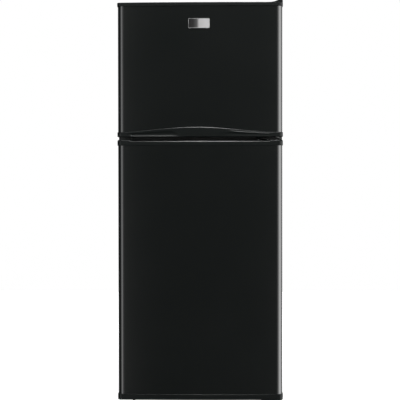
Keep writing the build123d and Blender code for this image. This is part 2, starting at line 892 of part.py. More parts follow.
def evaporator():
    """A block of fins on two rows of tubes, behind the freezer's rear cover."""
    side = opening_side - evaporator_margin
    y = (inner_rear - seat_gap - evaporator_depth, inner_rear - seat_gap)
    z = (freezer_floor + evaporator_above_floor, fan_height - fan_radius - evaporator_below_fan)
    tube_ends = (-side - 2 * fin_tube_radius, side + 2 * fin_tube_radius)
    coil = Part()
    for i in range(fin_count):
        x = -side + 2 * side * i / (fin_count - 1)
        coil += block((x - fin_thickness / 2, x + fin_thickness / 2), y, z)
    for row in fin_tube_rows:
        for level in fin_tube_levels:
            tube_y = y[1] - evaporator_depth * row
            coil += rod(fin_tube_radius, tube_ends, tube_y, z[0] + (z[1] - z[0]) * level)
    return coil


def evaporator_cover():
    """The panel in front of the evaporator, with a round fan grille and air slots below."""
    side = opening_side - seat_gap
    y = (grille_y, grille_y + bin_wall)
    cover = block((-side, side), y, (freezer_floor + seat_gap, freezer_ceiling - seat_gap))
    rows = int(fan_radius / grille_pitch)
    for i in range(-rows, rows + 1):
        offset = i * grille_pitch
        half = (fan_radius ** 2 - offset ** 2) ** 0.5
        middle = fan_height + offset
        cover -= block((-half, half), y, (middle - grille_slot / 2, middle + grille_slot / 2))
    slots = int((side - floor_slot_pitch) / floor_slot_pitch)
    low = freezer_floor + 2 * floor_slot[1]
    for i in range(-slots, slots + 1):
        middle = i * floor_slot_pitch
        slot_x = (middle - floor_slot[0] / 2, middle + floor_slot[0] / 2)
        cover -= block(slot_x, y, (low, low + floor_slot[1]))
    return cover


def fan_motor():
    """The motor on the freezer's rear wall, and the shaft that carries the blades."""
    motor_front = fan_y + motor_behind_fan
    motor = rod(motor_radius, 0, (motor_front, inner_rear - seat_gap), fan_height)
    return motor + rod(fan_shaft, 0, (fan_y - fan_shaft, motor_front), fan_height)


def fan_blade():
    hub_y = (fan_y - 2 * fan_shaft, fan_y + motor_behind_fan - 2 * fan_shaft)
    middle_y = (hub_y[0] + hub_y[1]) / 2
    wheel = rod(fan_hub, 0, hub_y, fan_height)
    length = fan_radius - fan_hub + fan_shaft
    blade = Rot(blade_pitch, 0, 0) * Box(length, blade_thickness, blade_width)
    blade = Pos(fan_radius - length / 2 - fan_shaft, 0, 0) * blade
    for i in range(fan_blades):
        wheel += Pos(0, middle_y, fan_height) * Rot(0, i * 360 / fan_blades, 0) * blade
    return wheel - rod(fan_shaft + running_gap, 0, hub_y, fan_height)


def freezer_shelf():
    """A welded wire shelf: a rim with cross wires."""
    side = opening_side - seat_gap - rim_wire_radius
    y = (shelf_front_y + rim_wire_radius, grille_y - rim_wire_radius - side_clearance)
    z = freezer_shelf_height
    shelf = rod(rim_wire_radius, (-side, side), y[0], z)
    shelf += rod(rim_wire_radius, (-side, side), y[1], z)
    shelf += rod(rim_wire_radius, -side, y, z)
    shelf += rod(rim_wire_radius, side, y, z)
    for corner_x in (-side, side):
        for corner_y in y:
            shelf += Pos(corner_x, corner_y, z) * Sphere(rim_wire_radius)
    for i in range(1, wire_count):
        x = -side + i * 2 * side / wire_count
        shelf += rod(wire_radius, x, y, z)
    return shelf


# Fridge inside

def shelf_frame(height):
    """A moulded rim with a rebate for the glass."""
    side = opening_side - side_clearance
    y = (shelf_front_y, shelf_rear_y)
    top = height + shelf_thickness
    frame = block((-side, side), y, (height, top))
    frame -= shelf_inset(glass_border, top - glass_thickness, top)
    return frame - shelf_inset(glass_border + glass_rebate, height, top)


def shelf_inset(border, low, high):
    """The part of a shelf inside a border of this width."""
    side = opening_side - side_clearance - border
    return block((-side, side), (shelf_front_y + border, shelf_rear_y - border), (low, high))


def shelf_glass(height):
    top = height + shelf_thickness
    return shelf_inset(glass_border + seat_gap, top - glass_thickness, top)


def crisper_cover():
    """The thick glass over the drawers, which is also the lowest shelf."""
    side = opening_side - side_clearance
    z = (crisper_cover_base, crisper_cover_base + crisper_cover_thickness)
    return block((-side, side), (shelf_front_y, inner_rear - seat_gap), z)


def crisper(side):
    """A vegetable drawer with a thick front and a pull recess along its top."""
    x = sorted((side * crisper_gaps[0], side * (opening_side - crisper_gaps[1])))
    y = (crisper_face_y, crisper_back)
    z = (crisper_base, crisper_top)
    box = tray(x, y, z, crisper_wall, bin_corner)
    face = block((x[0], x[1]), (y[0], y[0] + crisper_face), z)
    box += fillet(face.edges().filter_by(Axis.Z).sort_by(Axis.Y)[:2], crisper_face - side_clearance)
    middle = (x[0] + x[1]) / 2
    grip_x = (middle - grip_size[0] / 2, middle + grip_size[0] / 2)
    grip_top = z[1] - grip_below_top
    return box - block(grip_x, (y[0], y[0] + grip_size[1]), (grip_top - grip_size[2], grip_top))


def control_housing():
    """The moulded box under the fridge ceiling, which holds the knob, the lamp and the switch."""
    wide, deep, _ = housing_size
    y = (housing_front_y, housing_front_y + deep)
    z = (housing_low, fridge_ceiling - seat_gap)
    outer = block((-wide / 2, wide / 2), y, z)
    outer = fillet(outer.edges().filter_by(Axis.Z), housing_corner)
    inner_x = (bin_wall - wide / 2, wide / 2 - bin_wall)
    housing = outer - block(inner_x, (y[0] + bin_wall, y[1] - bin_wall), (z[0] + bin_wall, z[1]))
    x, _, height = plunger_place()
    guide = (y[0], y[0] + plunger_guide)
    housing += rod(plunger_radius + bin_wall, x, guide, height)
    housing -= rod(plunger_radius + running_gap, x, guide, height)
    x, middle, low = knob_place()
    return housing - rod(knob_shaft + running_gap, x, middle, (low, low + bin_wall))


def plunger_place():
    """The door end of the light switch's plunger."""
    return plunger_at, dike_back + seat_gap, fridge_ceiling - housing_size[2] / 2


def light_switch():
    """The plunger that the closed fridge door holds in."""
    x, y, z = plunger_place()
    return rod(plunger_radius, x, (y, housing_front_y + plunger_guide + plunger_tail), z)


def knob_place():
    """Where the knob's shaft enters the housing from below."""
    return knob_at, housing_front_y + control_row, housing_low


def temperature_knob():
    """A dial with a grip bar across it, on a shaft into the housing."""
    x, y, z = knob_place()
    top = z - seat_gap
    low = top - knob_height
    bar, deep = knob_grip
    knob = rod(knob_radius, x, y, (low, top))
    for side in (-1, 1):
        flank = sorted((x + side * bar / 2, x + side * knob_radius))
        knob -= block(flank, (y - knob_radius, y + knob_radius), (low, low + deep))
    return knob + rod(knob_shaft, x, y, (top, z + 2 * bin_wall))


def lamp_lens():
    wide, deep, tall = lens_size
    top = housing_low - seat_gap
    y = housing_front_y + control_row
    x = plunger_at
    lens = block((x - wide / 2, x + wide / 2), (y - deep / 2, y + deep / 2), (top - tall, top))
    return fillet(lens.edges().filter_by(Axis.Z), lens_corner)


# Feet and rollers

def foot_places():
    """Both front feet: left, then right."""
    y = cabinet_front + foot_inset[1]
    x = cabinet_side - foot_inset[0]
    return [(-x, y), (x, y)]


def levelling_foot(place):
    """A disc on a screw that turns in the nut under the cabinet floor."""
    x, y = place
    foot = rod(foot_radius, x, y, (0, foot_height))
    foot += extrude(Pos(x, y, foot_height) * RegularPolygon(foot_hexagon[0], 6), foot_hexagon[1])
    return foot + rod(foot_screw, x, y, (foot_height, floor_steel + foot_nut + foot_screw_end))


def roller_places():
    y = wrap_rear - roller_inset[1]
    x = cabinet_side - roller_inset[0]
    return [(-x, y), (x, y)]


def roller(place):
    x, y = place
    ends = (x - roller_width / 2, x + roller_width / 2)
    wheel = rod(roller_radius, ends, y, roller_radius)
    wheel = chamfer(wheel.edges().filter_by(GeomType.CIRCLE), roller_edge)
    return wheel - rod(pin_radius + running_gap, ends, y, roller_radius)


def roller_brackets():
    """Two cheeks and a top plate for each rear roller, with its axle riveted in."""
    long, short = bracket_size
    inner = roller_width / 2 + seat_gap
    outer = inner + bracket_wall
    low = roller_radius - 2 * pin_radius
    brackets = []
    for x, y in roller_places():
        top = (cabinet_bottom - bracket_wall, cabinet_bottom)
        one = block((x - outer, x + outer), (y - long / 2, y + long / 2), top)
        for side in (-1, 1):
            cheek = sorted((x + side * inner, x + side * outer))
            one += block(cheek, (y - short / 2, y + short / 2), (low, cabinet_bottom))
        one += rod(pin_radius, (x - outer - axle_end, x + outer + axle_end), y, roller_radius)
        brackets.append(one.solid())
    return Compound(brackets)


os.makedirs("parts", exist_ok=True)

save(cabinet_wrap(), "cabinet_wrap")
save(cabinet_back(), "cabinet_back")
save(cabinet_base(), "cabinet_base")
save(cabinet_foam(), "cabinet_foam")
save(mullion_rail(), "mullion_rail")
save(freezer_liner(), "freezer_liner")
save(fridge_liner(), "fridge_liner")
save(top_hinge(), "top_hinge")
save(hinge_cover(), "hinge_cover")
save(centre_hinge(), "centre_hinge")
save(lower_hinge(), "lower_hinge")
save(hinge_screws(), "hinge_screws")
save(machine_plate(), "machine_plate")
save(rear_cover(), "rear_cover")
save(cover_screws(), "cover_screws")
save(compressor(), "compressor")
save(compressor_mounts(), "compressor_mounts")
save(drain_pan(), "drain_pan")
save(cord_gland(), "cord_gland")
save(roller_brackets(), "roller_brackets")
save(evaporator_cover(), "evaporator_cover")
save(evaporator(), "evaporator")
save(fan_motor(), "fan_motor")
save(fan_blade(), "fan_blade")
save(freezer_shelf(), "freezer_shelf")
save(control_housing(), "control_housing")
save(light_switch(), "light_switch")
save(temperature_knob(), "temperature_knob")
save(lamp_lens(), "lamp_lens")
save(crisper_cover(), "crisper_cover")

for name, height in zip(("lower", "upper"), shelf_heights):
    save(shelf_frame(height), f"{name}_shelf_frame")
    save(shelf_glass(height), f"{name}_shelf_glass")

for name, side, foot, wheel in zip(("left", "right"), (-1, 1), foot_places(), roller_places()):
    save(crisper(side), f"{name}_crisper")
    save(levelling_foot(foot), f"{name}_foot")
    save(roller(wheel), f"{name}_roller")

save(freezer_door_skin(), "freezer_door_skin")
save(freezer_door_top_cap(), "freezer_door_top_cap")
save(freezer_door_bottom_cap(), "freezer_door_bottom_cap")
save(freezer_door_foam(), "freezer_door_foam")
save(door_liner(freezer_door_bottom, freezer_door_top, (freezer_floor, freezer_ceiling), freezer_bins),
     "freezer_door_liner")
save(door_gasket(freezer_door_bottom, freezer_door_top), "freezer_door_gasket")
save(door_bushings(freezer_door_bottom, freezer_door_top, centre_plate_top), "freezer_door_bushings")
save(badge(), "badge")
for name, (height, tall) in freezer_bins.items():
    save(door_bin(height, tall), f"freezer_bin_{name}")

save(fridge_door_skin(), "fridge_door_skin")
save(fridge_door_top_cap(), "fridge_door_top_cap")
save(fridge_door_bottom_cap(), "fridge_door_bottom_cap")
save(fridge_door_foam(), "fridge_door_foam")
save(door_liner(fridge_door_bottom, fridge_door_top, (fridge_floor, fridge_ceiling), fridge_bins),
     "fridge_door_liner")
save(door_gasket(fridge_door_bottom, fridge_door_top), "fridge_door_gasket")
save(door_bushings(fridge_door_bottom, fridge_door_top, lower_plate_top), "fridge_door_bushings")
for name, (height, tall) in fridge_bins.items():
    save(door_bin(height, tall), f"fridge_bin_{name}")
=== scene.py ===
import json
import math
from contextlib import contextmanager

import bmesh
import bpy
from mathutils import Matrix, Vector


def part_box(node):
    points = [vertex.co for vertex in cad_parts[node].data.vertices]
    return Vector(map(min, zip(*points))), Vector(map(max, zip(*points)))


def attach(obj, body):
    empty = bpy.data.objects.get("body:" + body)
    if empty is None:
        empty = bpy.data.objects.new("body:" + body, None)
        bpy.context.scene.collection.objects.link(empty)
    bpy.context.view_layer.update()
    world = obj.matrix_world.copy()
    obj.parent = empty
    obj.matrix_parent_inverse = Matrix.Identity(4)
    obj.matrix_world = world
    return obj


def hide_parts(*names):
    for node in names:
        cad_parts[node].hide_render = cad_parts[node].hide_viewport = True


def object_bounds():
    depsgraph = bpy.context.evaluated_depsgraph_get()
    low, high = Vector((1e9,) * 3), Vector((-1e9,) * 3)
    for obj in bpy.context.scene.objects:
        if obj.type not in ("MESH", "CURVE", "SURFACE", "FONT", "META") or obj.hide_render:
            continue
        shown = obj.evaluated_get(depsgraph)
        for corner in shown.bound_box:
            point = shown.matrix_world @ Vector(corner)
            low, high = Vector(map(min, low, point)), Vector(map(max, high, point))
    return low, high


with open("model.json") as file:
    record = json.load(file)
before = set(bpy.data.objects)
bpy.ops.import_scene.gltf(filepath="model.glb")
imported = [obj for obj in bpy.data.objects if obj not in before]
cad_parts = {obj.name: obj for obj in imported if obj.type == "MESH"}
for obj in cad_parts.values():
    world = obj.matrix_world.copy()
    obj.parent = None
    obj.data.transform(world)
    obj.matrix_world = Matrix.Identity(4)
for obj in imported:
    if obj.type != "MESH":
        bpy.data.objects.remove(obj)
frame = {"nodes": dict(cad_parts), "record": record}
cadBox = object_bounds()
nodes = frame["nodes"]
mm = 0.001
print("frame loaded")


def selectOnly(piece):
    bpy.ops.object.select_all(action="DESELECT")
    piece.select_set(True)
    bpy.context.view_layer.objects.active = piece


@contextmanager
def editing(piece):
    selectOnly(piece)
    bpy.ops.object.mode_set(mode="EDIT")
    bpy.ops.mesh.select_all(action="DESELECT")
    yield
    bpy.ops.object.mode_set(mode="OBJECT")


def pick(piece, kind, test):    # kind is edges or faces, gives back how many were selected
    bpy.ops.mesh.select_mode(type={"edges": "EDGE", "faces": "FACE"}[kind])
    bpy.ops.mesh.select_all(action="DESELECT")
    mesh = bmesh.from_edit_mesh(piece.data)
    mesh.normal_update()
    count = 0
    for part in getattr(mesh, kind):
        if test(part):
            part.select_set(True)
            count += 1
    mesh.select_flush_mode()
    bmesh.update_edit_mesh(piece.data)
    return count


def near(a, b, reach=0.02 * mm):
    return abs(a - b) < reach


def clamp(value):
    return max(0.0, min(1.0, value))


def along(edge, axis):    # the edge runs along X, Y or Z
    step = edge.verts[1].co - edge.verts[0].co
    return abs(step[axis]) > 0.99 * step.length


def looks(face, axis, way=0):    # the face looks along an axis, to either side when way is 0
    look = face.normal[axis]
    return (look * way if way else abs(look)) > 0.9


def sharpAt(low):    # a test for the sharp edges at this height
    def test(edge):
        return all(near(v.co.z, low) for v in edge.verts) and edge.calc_face_angle(0) > 1.2
    return test


def startBlock(name, low, high):
    bpy.ops.object.select_all(action="DESELECT")
    low, high = Vector(low), Vector(high)
    bpy.ops.mesh.primitive_cube_add(size=1, location=(low + high) / 2, scale=high - low)
    piece = bpy.context.object
    piece.name = piece.data.name = name
    bpy.ops.object.transform_apply(location=True, rotation=True, scale=True)
    return piece


def startRod(name, radius, start, end, sides):
    bpy.ops.object.select_all(action="DESELECT")
    start, end = Vector(start), Vector(end)
    turn = (end - start).to_track_quat("Z", "Y").to_euler()
    bpy.ops.mesh.primitive_cylinder_add(vertices=sides, radius=radius, depth=(end - start).length,
                                        location=(start + end) / 2, rotation=turn)
    piece = bpy.context.object
    piece.name = piece.data.name = name
    bpy.ops.object.transform_apply(location=True, rotation=True, scale=True)
    return piece


def cutRings(axis, places):    # new edge rings across the whole piece that is edited
    normal = [0, 0, 0]
    normal[axis] = 1
    for place in places:
        point = [0, 0, 0]
        point[axis] = place
        bpy.ops.mesh.select_all(action="SELECT")
        bpy.ops.mesh.bisect(plane_co=point, plane_no=normal)


def roundEdges(piece, test, radius, steps):
    if pick(piece, "edges", test):
        bpy.ops.mesh.bevel(offset=radius, segments=steps, affect="EDGES", profile=0.5, clamp_overlap=False)


def dropFaces(piece, test):
    if pick(piece, "faces", test):
        bpy.ops.mesh.delete(type="FACE")


def extrude(height):    # the picked faces, straight up or down
    bpy.ops.mesh.extrude_region_move(TRANSFORM_OT_translate={"value": (0, 0, height)})


def everyFaceOut():
    bpy.ops.mesh.select_all(action="SELECT")
    bpy.ops.mesh.normals_make_consistent(inside=False)


def shape(piece, move):    # move takes a point and gives back where it goes
    for vertex in piece.data.vertices:
        vertex.co = move(vertex.co.copy())
    piece.data.update()


def applyModifier(piece, kind, **settings):
    selectOnly(piece)
    modifier = piece.modifiers.new(kind.title(), kind)
    for key, value in settings.items():
        setattr(modifier, key, value)
    bpy.ops.object.modifier_apply(modifier=modifier.name)


def thicken(piece, thickness):    # inwards
    applyModifier(piece, "SOLIDIFY", thickness=thickness, offset=-1, use_even_offset=True)


def bevelled(piece, width, steps, angle=30):
    applyModifier(piece, "BEVEL", width=width, segments=steps, limit_method="ANGLE",
                  angle_limit=math.radians(angle))


def joinPieces(pieces):
    bpy.ops.object.select_all(action="DESELECT")
    for piece in pieces:
        piece.select_set(True)
    bpy.context.view_layer.objects.active = pieces[0]
    bpy.ops.object.join()
    return pieces[0]


weld = 0.005 * mm    # points this near become one


def mergedCopy(node, name, wholeFaces=True):    # a CAD node as a new piece, its loose triangles joined up
    piece = nodes[node].copy()
    piece.data = nodes[node].data.copy()
    for key in list(piece.keys()):
        del piece[key]
    piece.parent = None
    bpy.context.scene.collection.objects.link(piece)
    piece.name = piece.data.name = name
    with editing(piece):
        bpy.ops.mesh.select_all(action="SELECT")
        bpy.ops.mesh.remove_doubles(threshold=weld)
        if wholeFaces:
            bpy.ops.mesh.dissolve_limited(angle_limit=math.radians(0.3))
    return piece


def finishPiece(piece, body, finish, replaces=(), angle=32):
    selectOnly(piece)
    bpy.ops.object.shade_smooth_by_angle(angle=math.radians(angle))    # sharper edges stay sharp
    applyModifier(piece, "WEIGHTED_NORMAL", keep_sharp=True, weight=50)    # flat faces keep their own normal
    piece.data.materials.clear()
    piece.data.materials.append(finish)
    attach(piece, body)
    if replaces:
        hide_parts(*replaces)
    return piece


class Wire:    # a shader socket that takes part in sums
    def __init__(self, finish, socket):
        self.finish, self.socket = finish, socket

    def combine(self, operation, first, second):
        return self.finish.add("ShaderNodeMath", {"operation": operation}, {0: first, 1: second})

    def __add__(self, other):
        return self.combine("ADD", self, other)

    def __sub__(self, other):
        return self.combine("SUBTRACT", self, other)

    def __rsub__(self, other):
        return self.combine("SUBTRACT", other, self)

    def __mul__(self, other):
        return self.combine("MULTIPLY", self, other)

    def __truediv__(self, other):
        return self.combine("DIVIDE", self, other)

    def __rtruediv__(self, other):
        return self.combine("DIVIDE", other, self)

    def __gt__(self, other):
        return self.combine("GREATER_THAN", self, other)

    def __lt__(self, other):
        return self.combine("LESS_THAN", self, other)

    def __abs__(self):
        return self.finish.add("ShaderNodeMath", {"operation": "ABSOLUTE"}, {0: self})

    __radd__ = __add__
    __rmul__ = __mul__

    def output(self, name):    # another output of the same node
        return Wire(self.finish, self.socket.node.outputs[name])


class Finish:    # a node tree in the making, with its main shader
    def __init__(self, owner, shader="Principled BSDF", place="Object"):
        owner.use_nodes = True
        self.owner = owner
        self.nodes = owner.node_tree.nodes
        self.links = owner.node_tree.links
        self.shader = self.nodes[shader]
        self.place = self.add("ShaderNodeTexCoord", output=place)

    def add(self, kind, settings=None, inputs=None, output=0):
        node = self.nodes.new(kind)
        for key, value in (settings or {}).items():
            if key == "stops":
                ramp = node.color_ramp
                while len(ramp.elements) < len(value):
                    ramp.elements.new(0.5)
                for element, (position, colour) in zip(ramp.elements, value):
                    element.position, element.color = position, (*colour, 1)
            else:
                setattr(node, key, value)
        for key, value in (inputs or {}).items():
            self.feed(node.inputs[key], value)
        return Wire(self, node.outputs[output])

    def feed(self, socket, value):
        if isinstance(value, Wire):
            self.links.new(value.socket, socket)
        elif isinstance(value, (tuple, list)) and len(value) == 3 and len(socket.default_value) == 4:
            socket.default_value = (*value, 1)
        else:
            socket.default_value = value

    def set(self, **values):    # sockets by name, spaces as underscores
        for key, value in values.items():
            self.feed(self.shader.inputs[key.replace("_", " ")], value)

    def noise(self, scale, detail=2, rough=0.5, stretch=None):
        where = self.place
        if stretch:
            where = self.add("ShaderNodeVectorMath", {"operation": "MULTIPLY"}, {0: where, 1: stretch})
        return self.add("ShaderNodeTexNoise", None,
                        {"Vector": where, "Scale": scale, "Detail": detail, "Roughness": rough})

    def cells(self, scale, output=0):
        return self.add("ShaderNodeTexVoronoi", None, {"Vector": self.place, "Scale": scale}, output)

    def between(self, mask, low, high):    # low and high are colours
        return self.add("ShaderNodeMix", {"data_type": "RGBA"}, {0: mask, 6: low, 7: high}, 2)

    def bump(self, height, distance, strength):
        self.set(Normal=self.add("ShaderNodeBump", None,
                                 {"Strength": strength, "Distance": distance, "Height": height}))


finishes = {}


def newFinish(name):
    finish = Finish(bpy.data.materials.new(name))
    finishes[name] = finish.owner
    return finish


# painted reflection across the badge: its colour goes from dark at one end to bright at the other
badgePaintedLightStops = [(0.0, (0.002, 0.002, 0.002)), (0.25, (0.006, 0.006, 0.006)), (0.42, (0.035, 0.035, 0.035)),
              (0.52, (0.19, 0.19, 0.19)), (0.8, (0.23, 0.23, 0.23)), (1.0, (0.22, 0.22, 0.22))]
# painted highlight along the badge's rim
rimPaintedHighlight = (0.17, 0.17, 0.17)
paintedRimFrom = (0.486, 0.468)    # distance from the plate's middle, as shares of its width and height


def makeFinishes():
    f = newFinish("blackEnamel")    # baked paint on steel, with a faint orange peel
    peel = f.noise(260, 2)
    cloud = f.noise(5, 2)
    f.set(Base_Color=f.between(cloud, (0.0022, 0.0029, 0.0027), (0.0030, 0.0036, 0.0034)))
    f.set(Roughness=cloud * 0.03 + 0.11, IOR=1.5)
    f.bump(peel, 0.006 * mm, 0.6)

    f = newFinish("sidePaint")    # powder coat with a leather grain, duller than the doors
    grain = f.cells(330)
    cloud = f.noise(4, 2)
    f.set(Base_Color=f.between(cloud, (0.0060, 0.0066, 0.0064), (0.0085, 0.0090, 0.0088)))
    f.set(Roughness=cloud * 0.06 + 0.42, Specular_IOR_Level=0.3)
    f.bump(grain, 0.12 * mm, 0.5)

    f = newFinish("blackPlastic")    # moulded caps, a fine even grain
    grain = f.noise(1400, 2)
    cloud = f.noise(9, 2)
    f.set(Base_Color=f.between(cloud, (0.0030, 0.0038, 0.0036), (0.0040, 0.0048, 0.0046)))
    f.set(Roughness=cloud * 0.04 + 0.27, IOR=1.48, Specular_IOR_Level=0.09)
    f.bump(grain, 0.01 * mm, 0.5)

    f = newFinish("whiteLiner")    # vacuum-formed sheet, satin with a fine pebble
    wave = f.noise(7, 2)
    pores = f.noise(700, 2)
    f.set(Base_Color=f.between(wave, (0.70, 0.715, 0.71), (0.745, 0.755, 0.745)))
    f.set(Roughness=wave * 0.06 + 0.30)
    f.bump(pores, 0.03 * mm, 0.35)

    f = newFinish("whiteMoulding")
    pores = f.noise(900, 2)
    cloud = f.noise(20, 2)
    f.set(Base_Color=f.between(cloud, (0.66, 0.67, 0.67), (0.71, 0.715, 0.71)), Roughness=cloud * 0.08 + 0.36)
    f.bump(pores, 0.02 * mm, 0.5)

    f = newFinish("clearPlastic")    # bins and drawers, faintly blue, with moulding flow marks
    flow = f.noise(30, 3, 0.6, (1, 1, 4))
    f.set(Base_Color=(0.90, 0.96, 0.985), Transmission_Weight=0.88, IOR=1.38, Roughness=flow * 0.08 + 0.06)
    f.bump(flow, 0.1 * mm, 0.2)

    f = newFinish("shelfGlass")
    dust = f.noise(60, 3)
    f.set(Base_Color=(0.80, 0.93, 0.88), Transmission_Weight=0.95, IOR=1.5, Roughness=dust * 0.03 + 0.01)

    f = newFinish("zincSteel")    # galvanised sheet with its spangle
    spangle = f.cells(160, "Color")
    tone = f.add("ShaderNodeSeparateColor", None, {0: spangle})
    streak = f.noise(9, 3, 0.6, (3, 3, 0.6))
    mix = tone * 0.45 + streak * 0.55
    f.set(Base_Color=f.between(mix, (0.40, 0.41, 0.42), (0.54, 0.55, 0.56)), Metallic=1.0)
    f.set(Roughness=mix * 0.16 + 0.36)
    f.bump(f.noise(300, 2), 0.02 * mm, 0.4)

    f = newFinish("screwSteel")
    scratch = f.noise(600, 3)
    f.set(Base_Color=f.between(scratch, (0.45, 0.46, 0.47), (0.66, 0.66, 0.65)), Metallic=1.0)
    f.set(Roughness=scratch * 0.2 + 0.25)

    f = newFinish("finAluminium")
    streak = f.noise(120, 2, 0.5, (1, 1, 8))
    f.set(Base_Color=f.between(streak, (0.62, 0.63, 0.64), (0.80, 0.81, 0.82)), Metallic=1.0)
    f.set(Roughness=streak * 0.15 + 0.3)

    f = newFinish("badgeSilver")    # brushed plate, with painted reflection making it darker towards one end and a painted highlight along its rim
    brush = f.noise(900, 2, 0.5, (1, 1, 30))
    low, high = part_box("badge")
    split = f.add("ShaderNodeSeparateXYZ", None, {0: f.place})
    across = (split - low.x) / (high.x - low.x)
    upward = (split.output("Z") - low.z) / (high.z - low.z)
    # painted reflection: darker towards one end, lighter towards the other
    paintedLightAcross = f.add("ShaderNodeValToRGB", {"stops": badgePaintedLightStops}, {0: across + brush * 0.03})
    # painted highlight: a bright band along the plate's edges
    rim = f.add("ShaderNodeMath", {"operation": "MAXIMUM"},
                {0: abs(across - 0.5) > paintedRimFrom[0], 1: abs(upward - 0.5) > paintedRimFrom[1]})
    f.set(Base_Color=f.between(rim, paintedLightAcross, rimPaintedHighlight))
    f.set(Roughness=brush * 0.1 + 0.34, Specular_IOR_Level=0.1)
    f.bump(brush, 0.01 * mm, 0.4)

    f = newFinish("hingePaint")    # black paint worn thin at the knuckles
    chips = f.noise(90, 4, 0.7)
    f.set(Base_Color=f.between(chips, (0.004, 0.0045, 0.0045), (0.010, 0.0105, 0.0105)))
    f.set(Roughness=chips * 0.2 + 0.38, Specular_IOR_Level=0.15)
    f.bump(f.noise(500, 2), 0.03 * mm, 0.4)

    f = newFinish("footPlastic")
    scuff = f.noise(120, 4, 0.6)
    f.set(Base_Color=f.between(scuff, (0.016, 0.016, 0.016), (0.030, 0.030, 0.029)))
    f.set(Roughness=scuff * 0.2 + 0.42)
    f.bump(scuff, 0.05 * mm, 0.4)

    f = newFinish("dialInk")
    ink = f.noise(800, 2)
    f.set(Base_Color=f.between(ink, (0.05, 0.07, 0.10), (0.07, 0.09, 0.13)), Roughness=ink * 0.1 + 0.45)

    f = newFinish("greyRubber")
    speck = f.noise(500, 3)
    f.set(Base_Color=f.between(speck, (0.015, 0.015, 0.015), (0.03, 0.03, 0.03)))
    f.set(Roughness=speck * 0.15 + 0.62)
    f.bump(speck, 0.05 * mm, 0.5)

    f = newFinish("paleRubber")    # door seals
    speck = f.noise(260, 3)
    f.set(Base_Color=f.between(speck, (0.62, 0.62, 0.61), (0.70, 0.70, 0.69)), Roughness=speck * 0.12 + 0.5)
    f.bump(speck, 0.05 * mm, 0.4)

    f = newFinish("foam")
    bubbles = f.cells(420)
    f.set(Base_Color=f.between(bubbles, (0.80, 0.70, 0.46), (0.88, 0.80, 0.58)), Roughness=0.9)
    f.bump(bubbles, 0.4 * mm, 0.8)

    f = newFinish("whiteWire")    # plastic-coated wire
    dips = f.noise(200, 2)
    f.set(Base_Color=f.between(dips, (0.78, 0.78, 0.77), (0.86, 0.86, 0.85)), Coat_Weight=0.3)
    f.set(Roughness=dips * 0.1 + 0.25)
    f.bump(dips, 0.08 * mm, 0.4)

    f = newFinish("nylon")
    cloud = f.noise(150, 2)
    f.set(Base_Color=f.between(cloud, (0.66, 0.65, 0.58), (0.74, 0.73, 0.66)), Roughness=cloud * 0.1 + 0.42)

    f = newFinish("lampLens")    # frosted, with fine ribs
    ribs = f.add("ShaderNodeTexWave", {"bands_direction": "X"}, {"Vector": f.place, "Scale": 60.0})
    f.set(Base_Color=(0.95, 0.94, 0.90), Transmission_Weight=0.4, Roughness=ribs * 0.1 + 0.35)
    f.bump(ribs, 0.3 * mm, 0.6)


makeFinishes()
print("finishes made")

slotFinish = {
    "black_enamel": "blackEnamel", "black_plastic": "blackPlastic", "white_plastic": "whiteLiner",
    "clear_plastic": "clearPlastic", "foam": "foam", "zinc_steel": "zincSteel", "silver_plate": "badgeSilver",
    "grey_rubber": "greyRubber", "white_rubber": "paleRubber", "glass": "shelfGlass",
    "fin_aluminium": "finAluminium", "white_wire": "whiteWire", "nylon": "nylon", "lamp_plastic": "lampLens",
}
nodeSlot = {row["node"]: row["material_slot"] for row in frame["record"]["subparts"]}
nodeBody = {node: body for body, held in frame["record"]["behaviour"]["bodies"].items() for node in held}
nodeFinish = {    # where a node's finish isn't its slot's
    "freezer_door_bushings": "footPlastic", "fridge_door_bushings": "footPlastic",
    "hinge_screws": "screwSteel", "cover_screws": "screwSteel", "fan_motor": "screwSteel",
}
for name, cadNode in nodes.items():    # every CAD node gets its finish, new pieces hide most of them
    for holder in cadNode.material_slots:
        holder.material = finishes[nodeFinish.get(name, slotFinish[nodeSlot[name]])]


doorForm = {"crown": 10 * mm, "corner": 18 * mm, "capCorner": 13 * mm, "cornerSteps": 9, "skinColumns": 84,
            "capColumns": 48, "sheet": 1 * mm, "seam": 0.3 * mm}
arch = {"rise": 18.5 * mm, "half": 287 * mm, "peakAt": -14 * mm, "fullness": 0.85}


def ease(t):
    t = clamp(t)
    return t * t * (3 - 2 * t)


def archRise(x):    # height of the arch line over its ends
    return arch["rise"] * ease(1 - abs(x - arch["peakAt"]) / arch["half"]) ** arch["fullness"]


def doorBlank(name, node, corner, columns, shorter=0):    # a block with round corners, cut into columns
    low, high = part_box(node)
    flat = low.y + doorForm["crown"]
    piece = startBlock(name, (low.x, flat, low.z), (high.x, high.y, high.z - shorter))
    with editing(piece):
        roundEdges(piece, lambda e: along(e, 2) and near(e.verts[0].co.y, flat),
                   corner, doorForm["cornerSteps"])
        span = high.x - corner
        cutRings(0, [span * (2 * i / columns - 1) for i in range(1, columns)])
    return piece, low, high, flat


def bowFront(piece, half, flat, corner, wall=None):    # wall is the front wall of a pocket, which stays flat
    def move(point):
        limit = flat + corner + 0.01 * mm
        if wall and abs(point.x) < pocket["half"] + 0.1 * mm:
            limit = wall - 0.1 * mm
        if point.y < limit:
            point.y -= doorForm["crown"] * (1 - min(1, abs(point.x) / half) ** 2)
        return point
    shape(piece, move)


